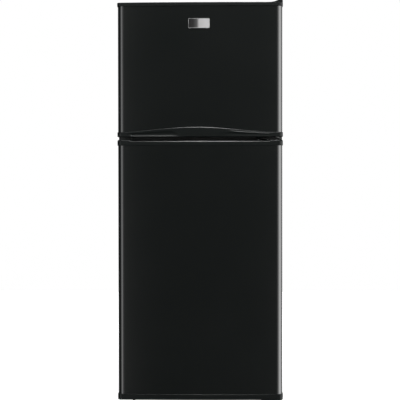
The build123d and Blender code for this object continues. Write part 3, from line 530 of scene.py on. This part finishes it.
def doorSkin(name, node, arched):
    piece, low, high, flat = doorBlank(name, node, doorForm["corner"], doorForm["skinColumns"])
    with editing(piece):
        dropFaces(piece, lambda f: looks(f, 2) or looks(f, 1, 1))
    if arched:
        bottom = low.z
        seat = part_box("freezer_door_bottom_cap")[1].z - arch["rise"]

        def lift(point):
            if near(point.z, bottom):
                point.z = seat + archRise(point.x) - doorForm["seam"]
            return point
        shape(piece, lift)
    bowFront(piece, high.x, flat, doorForm["corner"])
    thicken(piece, doorForm["sheet"])
    return finishPiece(piece, nodeBody[node], finishes["blackEnamel"], [node], angle=40)


doorSkin("freezerDoorSkin", "freezer_door_skin", True)
doorSkin("fridgeDoorSkin", "fridge_door_skin", False)
print("door skins made")


def perimeter(level, back):    # edges round a block's top or bottom, except at its back
    def test(edge):
        a, b = edge.verts
        atLevel = near(a.co.z, level) and near(b.co.z, level)
        inFront = (a.co.y + b.co.y) / 2 < back - 1 * mm
        return atLevel and inFront and len(edge.link_faces) == 2 and edge.calc_face_angle(0) > 0.9
    return test


plainCap = {"round": 0.9 * mm, "steps": 3}


def plainDoorCap(name, node):    # the end caps without a handle
    piece, low, high, flat = doorBlank(name, node, doorForm["capCorner"], doorForm["capColumns"])
    with editing(piece):
        roundEdges(piece, perimeter(high.z, high.y), plainCap["round"], plainCap["steps"])
        roundEdges(piece, perimeter(low.z, high.y), plainCap["round"], plainCap["steps"])
    bowFront(piece, high.x, flat, doorForm["capCorner"])
    return finishPiece(piece, nodeBody[node], finishes["blackPlastic"], [node], angle=40)


plainDoorCap("freezerDoorTopCap", "freezer_door_top_cap")
plainDoorCap("fridgeDoorBottomCap", "fridge_door_bottom_cap")

pocket = {"half": 250 * mm, "front": 16 * mm, "back": 54 * mm}


def sinkPocket(piece, front, back, way, depth):    # way is 1 in the top of a cap and -1 in the bottom
    def inPocket(face):
        centre = face.calc_center_median()
        return looks(face, 2, way) and abs(centre.x) < pocket["half"] and front < centre.y < back
    pick(piece, "faces", inPocket)
    extrude(-way * depth)


scoop = {"inner": 52 * mm, "innerTop": 100 * mm, "lean": 0.8, "outer": 256 * mm, "top": (11.5 * mm, 9.0 * mm),
         "depth": 2.6 * mm, "fade": 9 * mm, "endFade": 5 * mm, "ramps": (0.5, 0.3), "hingeShare": 0.5,
         "hingeRamps": (0.8, 0.15), "ridge": 1.1 * mm, "ridgeTall": 0.4}


def scoopDepth(x, up):    # how far the hollow under the arch goes in, up is the height over the cap's bottom
    reach = abs(x)
    t = up / scoop["top"][x > 0]
    if t > 1 + scoop["ridgeTall"]:
        return 0.0
    inner = scoop["inner"] + (scoop["innerTop"] - scoop["inner"]) * clamp(t) ** scoop["lean"]
    width = ease((reach - inner) / scoop["fade"]) * ease((scoop["outer"] - reach) / scoop["endFade"])
    if x < 0:
        rampIn, rampOut = scoop["ramps"]
        return scoop["depth"] * width * max(0.0, min(1.0, t / rampIn, (1 - t) / rampOut))
    if t > 1:    # on the hinge side a ridge stands over a shallower hollow
        return -scoop["ridge"] * width * math.sin(math.pi * (1 + scoop["ridgeTall"] - t) / scoop["ridgeTall"])
    rampIn, rampOut = scoop["hingeRamps"]
    return scoop["hingeShare"] * scoop["depth"] * width * min(1.0, t / rampIn, (1 - t) / rampOut)


archCap = {"columns": 100, "pocketTall": 14 * mm, "topRound": 2.2 * mm, "topSteps": 5, "lowRound": 1.2 * mm,
           "lowSteps": 3, "spread": 1.6, "scoopReach": 3 * mm,
           "rows": (1.6, 3.4, 5, 6.4, 7.8, 8.8, 9.6, 10.3, 11, 11.5, 12, 12.6, 13.1, 13.6, 14.6)}


def freezerHandleCap(name, node):    # its top follows the arch, and the rows below it fan out
    piece, low, high, flat = doorBlank(name, node, doorForm["capCorner"], archCap["columns"], arch["rise"])
    base, plainTop = low.z, high.z - arch["rise"]
    front, back = low.y + pocket["front"], low.y + pocket["back"]
    with editing(piece):
        cutRings(0, [-pocket["half"], pocket["half"]])
        cutRings(1, [front, back])
        cutRings(2, [base + row * mm for row in archCap["rows"]])
        sinkPocket(piece, front, back, -1, archCap["pocketTall"])
        roundEdges(piece, perimeter(plainTop, high.y), archCap["topRound"], archCap["topSteps"])
        roundEdges(piece, perimeter(base, high.y), archCap["lowRound"], archCap["lowSteps"])
    fixed = archCap["lowRound"] + 0.1 * mm
    sideTall = plainTop - base - archCap["topRound"] - fixed

    def move(point):
        up = point.z - base
        if point.y < flat + archCap["scoopReach"]:
            point.y += scoopDepth(point.x, up)
        point.z += archRise(point.x) * clamp((up - fixed) / sideTall) ** archCap["spread"]
        return point
    shape(piece, move)
    bowFront(piece, high.x, flat, doorForm["capCorner"], front)
    return finishPiece(piece, nodeBody[node], finishes["blackPlastic"], [node], angle=50)


lipCap = {"columns": 120, "pocketTall": 16 * mm, "drop": 3.0 * mm, "end": 256 * mm, "endFade": 4 * mm,
          "endColumns": (-5, -4, -3, -2, -1, 0), "reach": 9 * mm, "ramp": 5 * mm, "topRound": 5.6 * mm,
          "topSteps": 10, "lowRound": 1.2 * mm, "lowSteps": 3}


def fridgeHandleCap(name, node):    # its lip is lower between the two ends
    piece, low, high, flat = doorBlank(name, node, doorForm["capCorner"], lipCap["columns"])
    top = high.z
    front, back = low.y + pocket["front"], low.y + pocket["back"]
    with editing(piece):
        ends = [lipCap["end"] + step * mm for step in lipCap["endColumns"]]
        cutRings(0, [-pocket["half"], pocket["half"], *ends, *[-e for e in ends]])
        cutRings(1, [front, back])
        sinkPocket(piece, front, back, 1, lipCap["pocketTall"])
        roundEdges(piece, perimeter(top, high.y), lipCap["topRound"], lipCap["topSteps"])
        roundEdges(piece, perimeter(low.z, high.y), lipCap["lowRound"], lipCap["lowSteps"])

    def move(point):
        over = point.z - top + lipCap["reach"]
        if over > 0 and point.y < back - 0.5 * mm:
            point.z -= (lipCap["drop"] * ease((lipCap["end"] - abs(point.x)) / lipCap["endFade"])
                        * ease(over / lipCap["ramp"]))
        below, inward = top - point.z, high.x - abs(point.x)
        if near(point.y, high.y) and max(below, inward) < lipCap["topRound"] + 0.01 * mm:
            if inward < below:    # square against the inner door
                point.x = math.copysign(high.x, point.x)
            else:
                point.z = top
        return point
    shape(piece, move)
    bowFront(piece, high.x, flat, doorForm["capCorner"], front)
    return finishPiece(piece, nodeBody[node], finishes["blackPlastic"], [node], angle=50)


freezerHandleCap("freezerHandleCap", "freezer_door_bottom_cap")
fridgeHandleCap("fridgeHandleCap", "fridge_door_top_cap")
print("door caps made")

badgeForm = {"corner": 3 * mm, "cornerSteps": 4, "rim": 1.7 * mm, "sunk": 0.35 * mm, "columns": 16,
             "bulge": 0.9 * mm}


def badgePlate(name, node):
    low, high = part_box(node)
    piece = startBlock(name, (low.x, low.y + badgeForm["bulge"], low.z), high)
    middle = (low.x + high.x) / 2
    half = (high.x - low.x) / 2
    with editing(piece):
        roundEdges(piece, lambda e: along(e, 1), badgeForm["corner"], badgeForm["cornerSteps"])
        pick(piece, "faces", lambda f: looks(f, 1, -1))
        bpy.ops.mesh.inset(thickness=badgeForm["rim"] / 2, depth=0)
        pick(piece, "faces", lambda f: looks(f, 1, -1) and len(f.verts) > 4)
        bpy.ops.mesh.inset(thickness=badgeForm["rim"] / 2, depth=-badgeForm["sunk"])
        steps = badgeForm["columns"]
        cutRings(0, [middle + half * (2 * i / steps - 1) for i in range(1, steps)])

    def move(point):
        if point.y < high.y - 0.3 * mm:
            point.y -= badgeForm["bulge"] * (1 - ((point.x - middle) / half) ** 2)
        return point
    shape(piece, move)
    return finishPiece(piece, nodeBody[node], finishes["badgeSilver"], [node], angle=50)


badgePlate("badgePlate", "badge")


def softened(name, node, width, steps, finish, slot=None):    # a CAD shape with its sharp edges broken
    piece = mergedCopy(node, name, name != "controlBox")    # its slots need loose triangles
    bevelled(piece, width, steps)
    return finishPiece(piece, nodeBody[node], finishes[finish], [node], angle=40)


coverForm = {"shift": 19 * mm, "round": 1.2 * mm, "steps": 3}


def hingeCover(name, node):    # its sweep rises a little nearer to the pin
    piece = softened(name, node, coverForm["round"], coverForm["steps"], "blackPlastic")
    low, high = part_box(node)

    def move(point):
        point.x += coverForm["shift"] * math.sin(math.pi * clamp((point.x - low.x) / (high.x - low.x)))
        return point
    shape(piece, move)
    return piece


hingeCover("topHingeCover", "hinge_cover")
print("trim made")

cabinetForm = {"fold": 2 * mm, "steps": 3, "mouthTop": 1447 * mm, "railGap": 0.3 * mm, "sheet": 1 * mm}


def cabinetShell(name, node):    # the outer sheet, folded over at the top and in at the front
    low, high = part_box(node)
    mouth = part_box("mullion_rail")[1].x + cabinetForm["railGap"]
    piece = startBlock(name, low, high)
    with editing(piece):
        dropFaces(piece, lambda f: looks(f, 1, 1) or looks(f, 2, -1))
        roundEdges(piece, lambda e: len(e.link_faces) == 2, cabinetForm["fold"], cabinetForm["steps"])
        cutRings(0, [-mouth, mouth])
        cutRings(2, [cabinetForm["mouthTop"]])

        def inMouth(face):
            centre = face.calc_center_median()
            return looks(face, 1, -1) and abs(centre.x) < mouth and centre.z < cabinetForm["mouthTop"]
        dropFaces(piece, inMouth)
    thicken(piece, cabinetForm["sheet"])
    return finishPiece(piece, nodeBody[node], finishes["sidePaint"], [node], angle=40)


cabinetShell("cabinetShell", "cabinet_wrap")

backForm = {"ribs": (-216, -108, 0, 108, 216), "ribWidth": 34, "low": 300, "high": 1430, "gap": (820, 850),
            "slope": 5, "raised": 1.6, "round": 1.5, "steps": 2}    # in mm


def backPanel(name, node):    # pressed steel sheet with stiffening ribs
    low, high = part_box(node)
    piece = startBlock(name, low, high)
    halfRib = backForm["ribWidth"] / 2 * mm
    columns = [x * mm for x in backForm["ribs"]]
    ribLow, ribHigh, gapLow, gapHigh = (z * mm for z in (backForm["low"], backForm["high"], *backForm["gap"]))
    with editing(piece):
        cutRings(0, [c + side * halfRib for c in columns for side in (-1, 1)])
        cutRings(2, [ribLow, ribHigh, gapLow, gapHigh])

        def onRib(face):
            centre = face.calc_center_median()
            beside = any(abs(centre.x - c) < halfRib for c in columns)
            level = ribLow < centre.z < gapLow or gapHigh < centre.z < ribHigh
            return looks(face, 1, 1) and beside and level
        pick(piece, "faces", onRib)
        bpy.ops.mesh.inset(thickness=backForm["slope"] * mm, depth=backForm["raised"] * mm)
    bevelled(piece, backForm["round"] * mm, backForm["steps"], angle=10)
    return finishPiece(piece, nodeBody[node], finishes["zincSteel"], [node], angle=40)


backPanel("backPanel", "cabinet_back")

roomForm = {"round": 8 * mm, "steps": 6, "shortest": 150 * mm, "sides": (252 * mm, 256 * mm),
            "sideLong": 300 * mm, "sideFront": -200 * mm, "back": 290 * mm, "lowest": 200 * mm}


def liner(name, node):    # a formed room with round corners
    piece = mergedCopy(node, name, False)
    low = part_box(node)[0]
    sideIn, sideOut = roomForm["sides"]

    def isCorner(edge):    # the long edges on the side walls and the back wall
        length = edge.calc_length()
        if len(edge.link_faces) != 2 or edge.calc_face_angle(0) < 1.2 or length < roomForm["shortest"]:
            return False
        a, b = edge.verts
        front = min(a.co.y, b.co.y)
        onSide = sideIn < min(abs(a.co.x), abs(b.co.x)) < sideOut
        if along(edge, 1):
            return onSide and front < roomForm["sideFront"] and length > roomForm["sideLong"]
        if along(edge, 2):
            return onSide and front > roomForm["back"]
        return front > roomForm["back"] and min(a.co.z, b.co.z) > low.z + roomForm["lowest"]
    with editing(piece):
        roundEdges(piece, isCorner, roomForm["round"], roomForm["steps"])
    return finishPiece(piece, nodeBody[node], finishes["whiteLiner"], [node], angle=35)


liner("freezerRoom", "freezer_liner")
liner("fridgeRoom", "fridge_liner")

doorLinerForm = {"round": 2.6 * mm, "steps": 4}


def doorLiner(name, node):    # vacuum-formed, so no edge is sharp
    piece = mergedCopy(node, name)
    bevelled(piece, doorLinerForm["round"], doorLinerForm["steps"], angle=40)
    return finishPiece(piece, nodeBody[node], finishes["whiteLiner"], [node], angle=35)


doorLiner("freezerDoorLiner", "freezer_door_liner")
doorLiner("fridgeDoorLiner", "fridge_door_liner")
print("cabinet and liners made")

sealForm = {"width": 16 * mm, "round": 1.0 * mm,
            "levels": (0.14, 0.28, 0.42, 0.52, 0.62, 0.72, 0.84, 0.93),    # as shares of its depth
            "pulled": (0.0, 2.6, 3.4, 2.0, 0.6, 2.2, 3.0, 1.2)}    # in mm


def doorSeal(name, node):    # magnetic seal with its bellows
    low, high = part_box(node)
    width, deep, reach = sealForm["width"], high.y - low.y, 0.1 * mm
    middleUp = (low.z + high.z) / 2
    piece = startBlock(name, low, high)

    def inMiddle(face):
        centre = face.calc_center_median()
        return looks(face, 1) and abs(centre.x) < 1 * mm and abs(centre.z - middleUp) < 1 * mm
    with editing(piece):
        pick(piece, "faces", lambda f: looks(f, 1))
        bpy.ops.mesh.inset(thickness=width, depth=0)
        dropFaces(piece, inMiddle)
        inner = high.x - width + reach
        pick(piece, "edges", lambda e: all(abs(v.co.x) < inner for v in e.verts) and e.is_boundary)
        bpy.ops.mesh.bridge_edge_loops()
        cutRings(1, [low.y + deep * t for t in sealForm["levels"]])

    def move(point):
        t = (point.y - low.y) / deep
        pulled = 0.0
        for level, amount in zip(sealForm["levels"], sealForm["pulled"]):
            if abs(t - level) < 0.02:
                pulled = amount * mm
        if abs(point.x) > high.x - reach or near(abs(point.x), high.x - width, reach):
            point.x -= math.copysign(pulled, point.x)
        if near(point.z, high.z, reach) or near(point.z, low.z + width, reach):
            point.z -= pulled
        elif near(point.z, low.z, reach) or near(point.z, high.z - width, reach):
            point.z += pulled
        return point
    shape(piece, move)
    with editing(piece):
        everyFaceOut()
    bevelled(piece, sealForm["round"], 2, angle=25)
    return finishPiece(piece, nodeBody[node], finishes["paleRubber"], [node], angle=50)


doorSeal("freezerDoorSeal", "freezer_door_gasket")
doorSeal("fridgeDoorSeal", "fridge_door_gasket")

binForm = {"wall": 2.5, "corner": 18, "cornerSteps": 6, "rim": 9, "sunk": 0.8, "footHigh": 12, "foot": 5,
           "footSteps": 4, "rib": 2.2, "round": 0.5}    # in mm


def doorBin(name, node):    # clear bin with a thick rim and a rounded foot
    low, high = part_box(node)
    piece = startBlock(name, low, high)
    rimLow = high.z - binForm["rim"] * mm
    footHigh = low.z + binForm["footHigh"] * mm

    def panel(face):    # a large outer face between the foot and the rim
        x, y, z = face.calc_center_median()
        outside = abs(x) > high.x - 1 * mm or y < low.y + 0.3 * mm or y > high.y - 0.3 * mm
        return abs(face.normal.z) < 0.1 and footHigh < z < rimLow and outside and face.calc_area() > 4e-4
    with editing(piece):
        roundEdges(piece, lambda e: along(e, 2), binForm["corner"] * mm, binForm["cornerSteps"])
        pick(piece, "faces", lambda f: looks(f, 2, 1))
        bpy.ops.mesh.inset(thickness=binForm["wall"] * mm, depth=0)
        pick(piece, "faces", lambda f: looks(f, 2, 1) and len(f.verts) > 4)
        extrude(low.z + binForm["wall"] * mm - high.z)
        cutRings(2, [footHigh, rimLow])
        if pick(piece, "faces", panel):
            bpy.ops.mesh.inset(thickness=binForm["rib"] * mm, depth=-binForm["sunk"] * mm)
        roundEdges(piece, sharpAt(low.z), binForm["foot"] * mm, binForm["footSteps"])
    bevelled(piece, binForm["round"] * mm, 2, angle=35)
    return finishPiece(piece, nodeBody[node], finishes["clearPlastic"], [node], angle=35)


for name, node in {"freezerBinLower": "freezer_bin_lower", "freezerBinUpper": "freezer_bin_upper",
                   "fridgeBinLower": "fridge_bin_lower", "fridgeBinMiddle": "fridge_bin_middle",
                   "fridgeBinUpper": "fridge_bin_upper"}.items():
    doorBin(name, node)
print("seals and bins made")

drawerForm = {"wall": 2.5, "face": 8, "faceFade": 30, "backCorner": 18, "backSteps": 6, "frontCorner": 10,
              "frontSteps": 5, "foot": 6, "footSteps": 4, "gripWide": 110, "gripTall": 24, "gripDown": 14,
              "gripDeep": 4.5, "gripSlope": 4, "round": 0.7}    # in mm


def vegetableDrawer(name, node):    # clear drawer, thicker at the front, with a pull recess
    low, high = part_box(node)
    piece = startBlock(name, low, high)
    middle = (low.x + high.x) / 2
    thin, face = drawerForm["wall"] * mm, drawerForm["face"] * mm
    halfGrip = drawerForm["gripWide"] / 2 * mm
    gripHigh = high.z - drawerForm["gripDown"] * mm
    gripLow = gripHigh - drawerForm["gripTall"] * mm
    with editing(piece):
        roundEdges(piece, lambda e: along(e, 2) and near(e.verts[0].co.y, high.y),
                   drawerForm["backCorner"] * mm, drawerForm["backSteps"])
        roundEdges(piece, lambda e: along(e, 2) and near(e.verts[0].co.y, low.y),
                   drawerForm["frontCorner"] * mm, drawerForm["frontSteps"])
        pick(piece, "faces", lambda f: looks(f, 2, 1))
        bpy.ops.mesh.inset(thickness=thin, depth=0)
        pick(piece, "faces", lambda f: looks(f, 2, 1) and len(f.verts) > 4)
        extrude(low.z - high.z + thin)

    def thickenFront(point):
        wall = thin * 0.9
        if low.x + wall < point.x < high.x - wall and point.y > low.y + wall:
            point.y += (face - thin) * max(0.0, 1 - (point.y - low.y - thin) / (drawerForm["faceFade"] * mm))
        return point
    shape(piece, thickenFront)

    def onGrip(face):
        centre = face.calc_center_median()
        inFront = looks(face, 1, -1) and near(centre.y, low.y, 0.1 * mm)
        return inFront and abs(centre.x - middle) < halfGrip and gripLow < centre.z < gripHigh
    with editing(piece):
        cutRings(0, [middle - halfGrip, middle + halfGrip])
        cutRings(2, [gripLow, gripHigh])
        pick(piece, "faces", onGrip)
        bpy.ops.mesh.inset(thickness=drawerForm["gripSlope"] * mm, depth=-drawerForm["gripDeep"] * mm)
        roundEdges(piece, sharpAt(low.z), drawerForm["foot"] * mm, drawerForm["footSteps"])
    bevelled(piece, drawerForm["round"] * mm, 2)
    return finishPiece(piece, nodeBody[node], finishes["clearPlastic"], [node], angle=35)


vegetableDrawer("leftDrawer", "left_crisper")
vegetableDrawer("rightDrawer", "right_crisper")
print("drawers made")

knobForm = {"disc": 18, "discHigh": 5, "sides": 120, "dish": (2.2, 0.7), "flutes": 30, "fluteDeep": 0.5,
            "bar": (9, 33, 9), "barEdge": 1.2, "barRound": 0.7, "shaft": 3, "shaftSides": 24, "mark": 1.6,
            "markEnds": 2, "markRound": 0.3,    # in mm
            "taper": (0.78, 0.94, 1)}


def dialKnob(name, node):    # fluted disc with a grip bar across it
    low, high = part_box(node)
    x, y = (low.x + high.x) / 2, (low.y + high.y) / 2
    barWide, barLong, barDeep = (v * mm for v in knobForm["bar"])
    discLow = low.z + barDeep
    discTop = discLow + knobForm["discHigh"] * mm
    radius = knobForm["disc"] * mm
    disc = startRod(name, radius, (x, y, discLow), (x, y, discTop), knobForm["sides"])

    def flute(point):
        dx, dy = point.x - x, point.y - y
        hollow = 0.5 + 0.5 * math.cos(knobForm["flutes"] * math.atan2(dy, dx))
        shrink = 1 - knobForm["fluteDeep"] * mm / radius * hollow
        point.x, point.y = x + dx * shrink, y + dy * shrink
        return point
    shape(disc, flute)
    with editing(disc):
        pick(disc, "faces", lambda f: looks(f, 2, -1))
        dishEdge, dishDeep = knobForm["dish"]
        bpy.ops.mesh.inset(thickness=dishEdge * mm, depth=dishDeep * mm)
    bar = startBlock("gripBar", (x - barWide / 2, y - barLong / 2, low.z),
                     (x + barWide / 2, y + barLong / 2, discLow + 0.5 * mm))
    with editing(bar):
        roundEdges(bar, lambda e: along(e, 2), barWide / 2 - 0.4 * mm, 6)
        pick(bar, "faces", lambda f: looks(f, 2, -1))
        bpy.ops.transform.resize(value=knobForm["taper"], center_override=(x, y, low.z))
        bpy.ops.mesh.inset(thickness=knobForm["barEdge"] * mm, depth=0)
    bevelled(bar, knobForm["barRound"] * mm, 3, angle=50)
    halfMark, markEnd = knobForm["mark"] / 2 * mm, knobForm["markEnds"] * mm
    mark = startBlock("knobPointer", (x - halfMark, y - barLong / 2 + markEnd, low.z - 0.02 * mm),
                      (x + halfMark, y - markEnd, low.z + 1 * mm))
    bevelled(mark, knobForm["markRound"] * mm, 2)
    finishPiece(mark, nodeBody[node], finishes["dialInk"])
    shaft = startRod("shaft", knobForm["shaft"] * mm, (x, y, discTop - 0.2 * mm), (x, y, high.z),
                     knobForm["shaftSides"])
    piece = joinPieces([disc, bar, shaft])
    return finishPiece(piece, nodeBody[node], finishes["whiteMoulding"], [node], angle=35)


dialKnob("dialKnob", "temperature_knob")

dialForm = {"marks": "01234", "from": 0, "to": 270, "radius": 25.5, "tall": 7, "thick": 0.25}    # degrees, mm


def dialNumbers(name, node):    # raised figures round the knob, read from below
    low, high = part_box(node)
    x, y = (low.x + high.x) / 2, (low.y + high.y) / 2
    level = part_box("control_housing")[0].z - dialForm["thick"] * mm / 2
    radius = dialForm["radius"] * mm
    between = (dialForm["to"] - dialForm["from"]) / (len(dialForm["marks"]) - 1)
    figures = []
    for i, mark in enumerate(dialForm["marks"]):
        turn = math.radians(dialForm["from"] + between * i)
        out = Vector((-math.sin(turn), -math.cos(turn), 0))    # away from the knob
        bpy.ops.object.select_all(action="DESELECT")
        bpy.ops.object.text_add()
        text = bpy.context.object.data
        text.body = mark
        text.size = dialForm["tall"] * mm
        text.extrude = dialForm["thick"] * mm / 2
        text.align_x = text.align_y = "CENTER"
        bpy.ops.object.convert(target="MESH")
        figure = bpy.context.object
        figure.rotation_euler = (math.pi, 0, math.atan2(out.y, out.x) + math.pi / 2)
        figure.location = (x + out.x * radius, y + out.y * radius, level)
        bpy.ops.object.transform_apply(location=True, rotation=True, scale=True)
        figures.append(figure)
    piece = joinPieces(figures)
    piece.name = piece.data.name = name
    with editing(piece):
        bpy.ops.mesh.select_all(action="SELECT")
        bpy.ops.mesh.remove_doubles(threshold=weld)
        everyFaceOut()
    return finishPiece(piece, "cabinet", finishes["dialInk"])


dialNumbers("dialNumbers", "temperature_knob")

plateForm = {"edge": 26, "slope": 3, "sunk": 0.6, "round": 0.4}    # in mm


def pressedPlate(name, node):    # steel plate with a pressed middle
    low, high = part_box(node)
    piece = startBlock(name, low, high)
    with editing(piece):
        pick(piece, "faces", lambda f: looks(f, 2))
        bpy.ops.mesh.inset(thickness=plateForm["edge"] * mm, depth=0)
        pick(piece, "faces", lambda f: looks(f, 2) and near(f.calc_center_median().x, 0, 1 * mm)
             and f.calc_area() > 0.01)
        bpy.ops.mesh.inset(thickness=plateForm["slope"] * mm, depth=-plateForm["sunk"] * mm)
    bevelled(piece, plateForm["round"] * mm, 2, angle=20)
    return finishPiece(piece, nodeBody[node], finishes["zincSteel"], [node], angle=35)


pressedPlate("compressorPlate", "machine_plate")

foamGap = 2.5 * mm


def foamCore(name, node):    # a little smaller than its cavity, with the skin that foam grows against a wall
    piece = mergedCopy(node, name, False)
    with editing(piece):
        bpy.ops.mesh.select_all(action="SELECT")
        bpy.ops.transform.shrink_fatten(value=-foamGap, use_even_offset=True)
    return finishPiece(piece, nodeBody[node], finishes["foam"], [node], angle=35)


foamCore("cabinetFoam", "cabinet_foam")
foamCore("freezerDoorFoam", "freezer_door_foam")
foamCore("fridgeDoorFoam", "fridge_door_foam")

softParts = {    # name: CAD node, edge radius in mm, steps, finish, slot where it isn't the node's own
    "lowerShelfFrame": ("lower_shelf_frame", 1.6, 3, "whiteMoulding"),
    "upperShelfFrame": ("upper_shelf_frame", 1.6, 3, "whiteMoulding"),
    "lowerShelfPane": ("lower_shelf_glass", 0.5, 2, "shelfGlass"),
    "upperShelfPane": ("upper_shelf_glass", 0.5, 2, "shelfGlass"),
    "drawerCover": ("crisper_cover", 1.4, 3, "shelfGlass"),
    "fanPanel": ("evaporator_cover", 0.5, 2, "whiteMoulding"),
    "controlBox": ("control_housing", 0.9, 3, "whiteMoulding"),
    "lampCover": ("lamp_lens", 1.5, 3, "lampLens"),
    "lightPlunger": ("light_switch", 0.6, 2, "whiteMoulding"),
    "centreHinge": ("centre_hinge", 0.6, 2, "hingePaint"),
    "lowerHinge": ("lower_hinge", 0.6, 2, "hingePaint"),
    "topHinge": ("top_hinge", 0.6, 2, "hingePaint"),
    "frontRail": ("mullion_rail", 0.25, 2, "sidePaint"),
    "ventedCover": ("rear_cover", 0.35, 2, "zincSteel"),
    "baseSheet": ("cabinet_base", 0.35, 2, "sidePaint", "black_enamel"),
    "rollerForks": ("roller_brackets", 0.5, 2, "zincSteel"),
    "dripTray": ("drain_pan", 1.2, 3, "blackPlastic"),
    "leftFoot": ("left_foot", 0.8, 2, "footPlastic"),
    "rightFoot": ("right_foot", 0.8, 2, "footPlastic"),
    "leftWheel": ("left_roller", 0.6, 2, "nylon"),
    "rightWheel": ("right_roller", 0.6, 2, "nylon"),
    "fanBlades": ("fan_blade", 0.4, 2, "footPlastic"),
    "leadGland": ("cord_gland", 0.5, 2, "greyRubber"),
}
for name, (node, radius, *rest) in softParts.items():
    softened(name, node, radius * mm, *rest)
print("fittings made")

floorForm = {"middle": (0, 1.9, 0), "size": (8, 5.2, 1), "shade": (0.6, 0.6, 0.6), "glow": 0.74}    # metres
bpy.ops.mesh.primitive_plane_add(size=1, location=floorForm["middle"])
floor = bpy.context.object
floor.name = floor.data.name = "studioFloor"
with editing(floor):
    bpy.ops.mesh.select_all(action="SELECT")
    bpy.ops.transform.resize(value=floorForm["size"], center_override=floorForm["middle"])
bpy.ops.object.transform_apply(location=True, rotation=True, scale=True)
f = newFinish("paleFloor")
rays = f.add("ShaderNodeLightPath")
f.set(Base_Color=floorForm["shade"], Roughness=0.9)
f.set(Emission_Color=f.between(rays, (0, 0, 0), (1, 1, 1)), Emission_Strength=floorForm["glow"])
clear = f.add("ShaderNodeBsdfTransparent")    # for the gloss, which sees the walls and not the floor
both = f.add("ShaderNodeMixShader", None,
             {0: rays.output("Is Glossy Ray"), 1: Wire(f, f.shader.outputs["BSDF"]), 2: clear})
f.links.new(both.socket, f.nodes["Material Output"].inputs["Surface"])
floor.data.materials.append(f.owner)

studioLights = {    # metres and watts, "lights" is for what is matt and "shines" for what is glossy
    "rightPanel": {"place": (2.6, -1.9, 1.3), "aim": (0.1, -0.3, 0.8), "size": (1.1, 3.2),
                   "power": 90, "lights": True, "shines": False},
    "leftPanel": {"place": (-2.4, -2.6, 1.3), "aim": (-0.1, -0.3, 0.8), "size": (0.8, 3.2),
                  "power": 60, "lights": True, "shines": False},
    "topPanel": {"place": (0.12, -1.4, 3.2), "aim": (0.1, -0.3, 0.8), "size": (0.4, 1.2),
                 "power": 70, "lights": True, "shines": False},
    "glossPanel": {"place": (0.04, -1.6, 3.3), "aim": (0.04, -0.3, 0.9), "size": (0.55, 2.0),
                   "power": 430, "lights": False, "shines": True},
}
for name, light in studioLights.items():
    data = bpy.data.lights.new(name, "AREA")
    data.shape = "RECTANGLE"
    data.size, data.size_y = light["size"]
    data.energy = light["power"]
    lamp = bpy.data.objects.new(name, data)
    bpy.context.scene.collection.objects.link(lamp)
    lamp.location = light["place"]
    lamp.rotation_euler = (Vector(light["aim"]) - Vector(light["place"])).to_track_quat("-Z", "Y").to_euler()
    lamp.visible_camera = False
    lamp.visible_diffuse, lamp.visible_glossy = light["lights"], light["shines"]

# the room that the gloss mirrors: degrees round from the front, and how bright the wall is there
roomWalls = [(-180, 0.05), (-75, 0.08), (-58, 0.4), (-48, 2.2), (-38, 3.4), (-24, 3.2), (-17, 1.9),
             (-13, 0.12), (-8, 0.08), (8, 0.10), (12, 0.12), (17, 1.6), (30, 3.2), (45, 5.2), (60, 9.4),
             (75, 9.4), (95, 5.0), (115, 1.5), (135, 0.4), (180, 0.05)]
studioRoom = {"brightest": 10.0, "above": 0.4, "wallTop": (0.22, 0.36), "ambient": (0.75, 0.75, 0.75)}
world = bpy.data.worlds.new("studioWorld")
bpy.context.scene.world = world
w = Finish(world, "Background", "Generated")
way = w.add("ShaderNodeSeparateXYZ", None, {0: w.place})
turn = w.add("ShaderNodeMath", {"operation": "ARCTAN2"}, {0: way.output("X"), 1: way.output("Y") * -1})
wallShades = [(degrees / 360 + 0.5, [bright / studioRoom["brightest"]] * 3) for degrees, bright in roomWalls]
walls = w.add("ShaderNodeValToRGB", {"stops": wallShades}, {0: turn / (2 * math.pi) + 0.5})
bandLow, bandHigh = studioRoom["wallTop"]
band = w.add("ShaderNodeMapRange", {"interpolation_type": "SMOOTHSTEP"},
             {"Value": abs(way.output("Z")), "From Min": bandLow, "From Max": bandHigh,
              "To Min": studioRoom["brightest"], "To Max": studioRoom["above"]})
room = w.add("ShaderNodeVectorMath", {"operation": "SCALE"}, {0: walls, "Scale": band})
rays = w.add("ShaderNodeLightPath")
mixed = w.between(rays.output("Is Glossy Ray"), studioRoom["ambient"], room)
w.set(Color=w.between(rays, mixed, (1, 1, 1)))    # the camera sees white behind everything

camera = {"distance": 4.5, "wide": 1.449, "top": 1.5068, "tilt": 1.07, "side": 0.09, "roll": 0.07,
          "sensor": 36}    # metres, degrees and the sensor in mm
lens = bpy.data.cameras.new("camera")
lens.sensor_width = camera["sensor"]
lens.lens = camera["sensor"] * camera["distance"] / camera["wide"]
eye = bpy.data.objects.new("camera", lens)
bpy.context.scene.collection.objects.link(eye)
middleHeight = camera["top"] - camera["wide"] / 2
eye.location = (camera["side"], cadBox[0].y - camera["distance"],
                middleHeight + camera["distance"] * math.tan(math.radians(camera["tilt"])))
turned = math.atan2(camera["side"], camera["distance"])
eye.rotation_euler = (math.radians(90 - camera["tilt"]), math.radians(camera["roll"]), turned)
bpy.context.scene.camera = eye
bpy.context.scene.view_settings.view_transform = "Standard"
print("studio made")
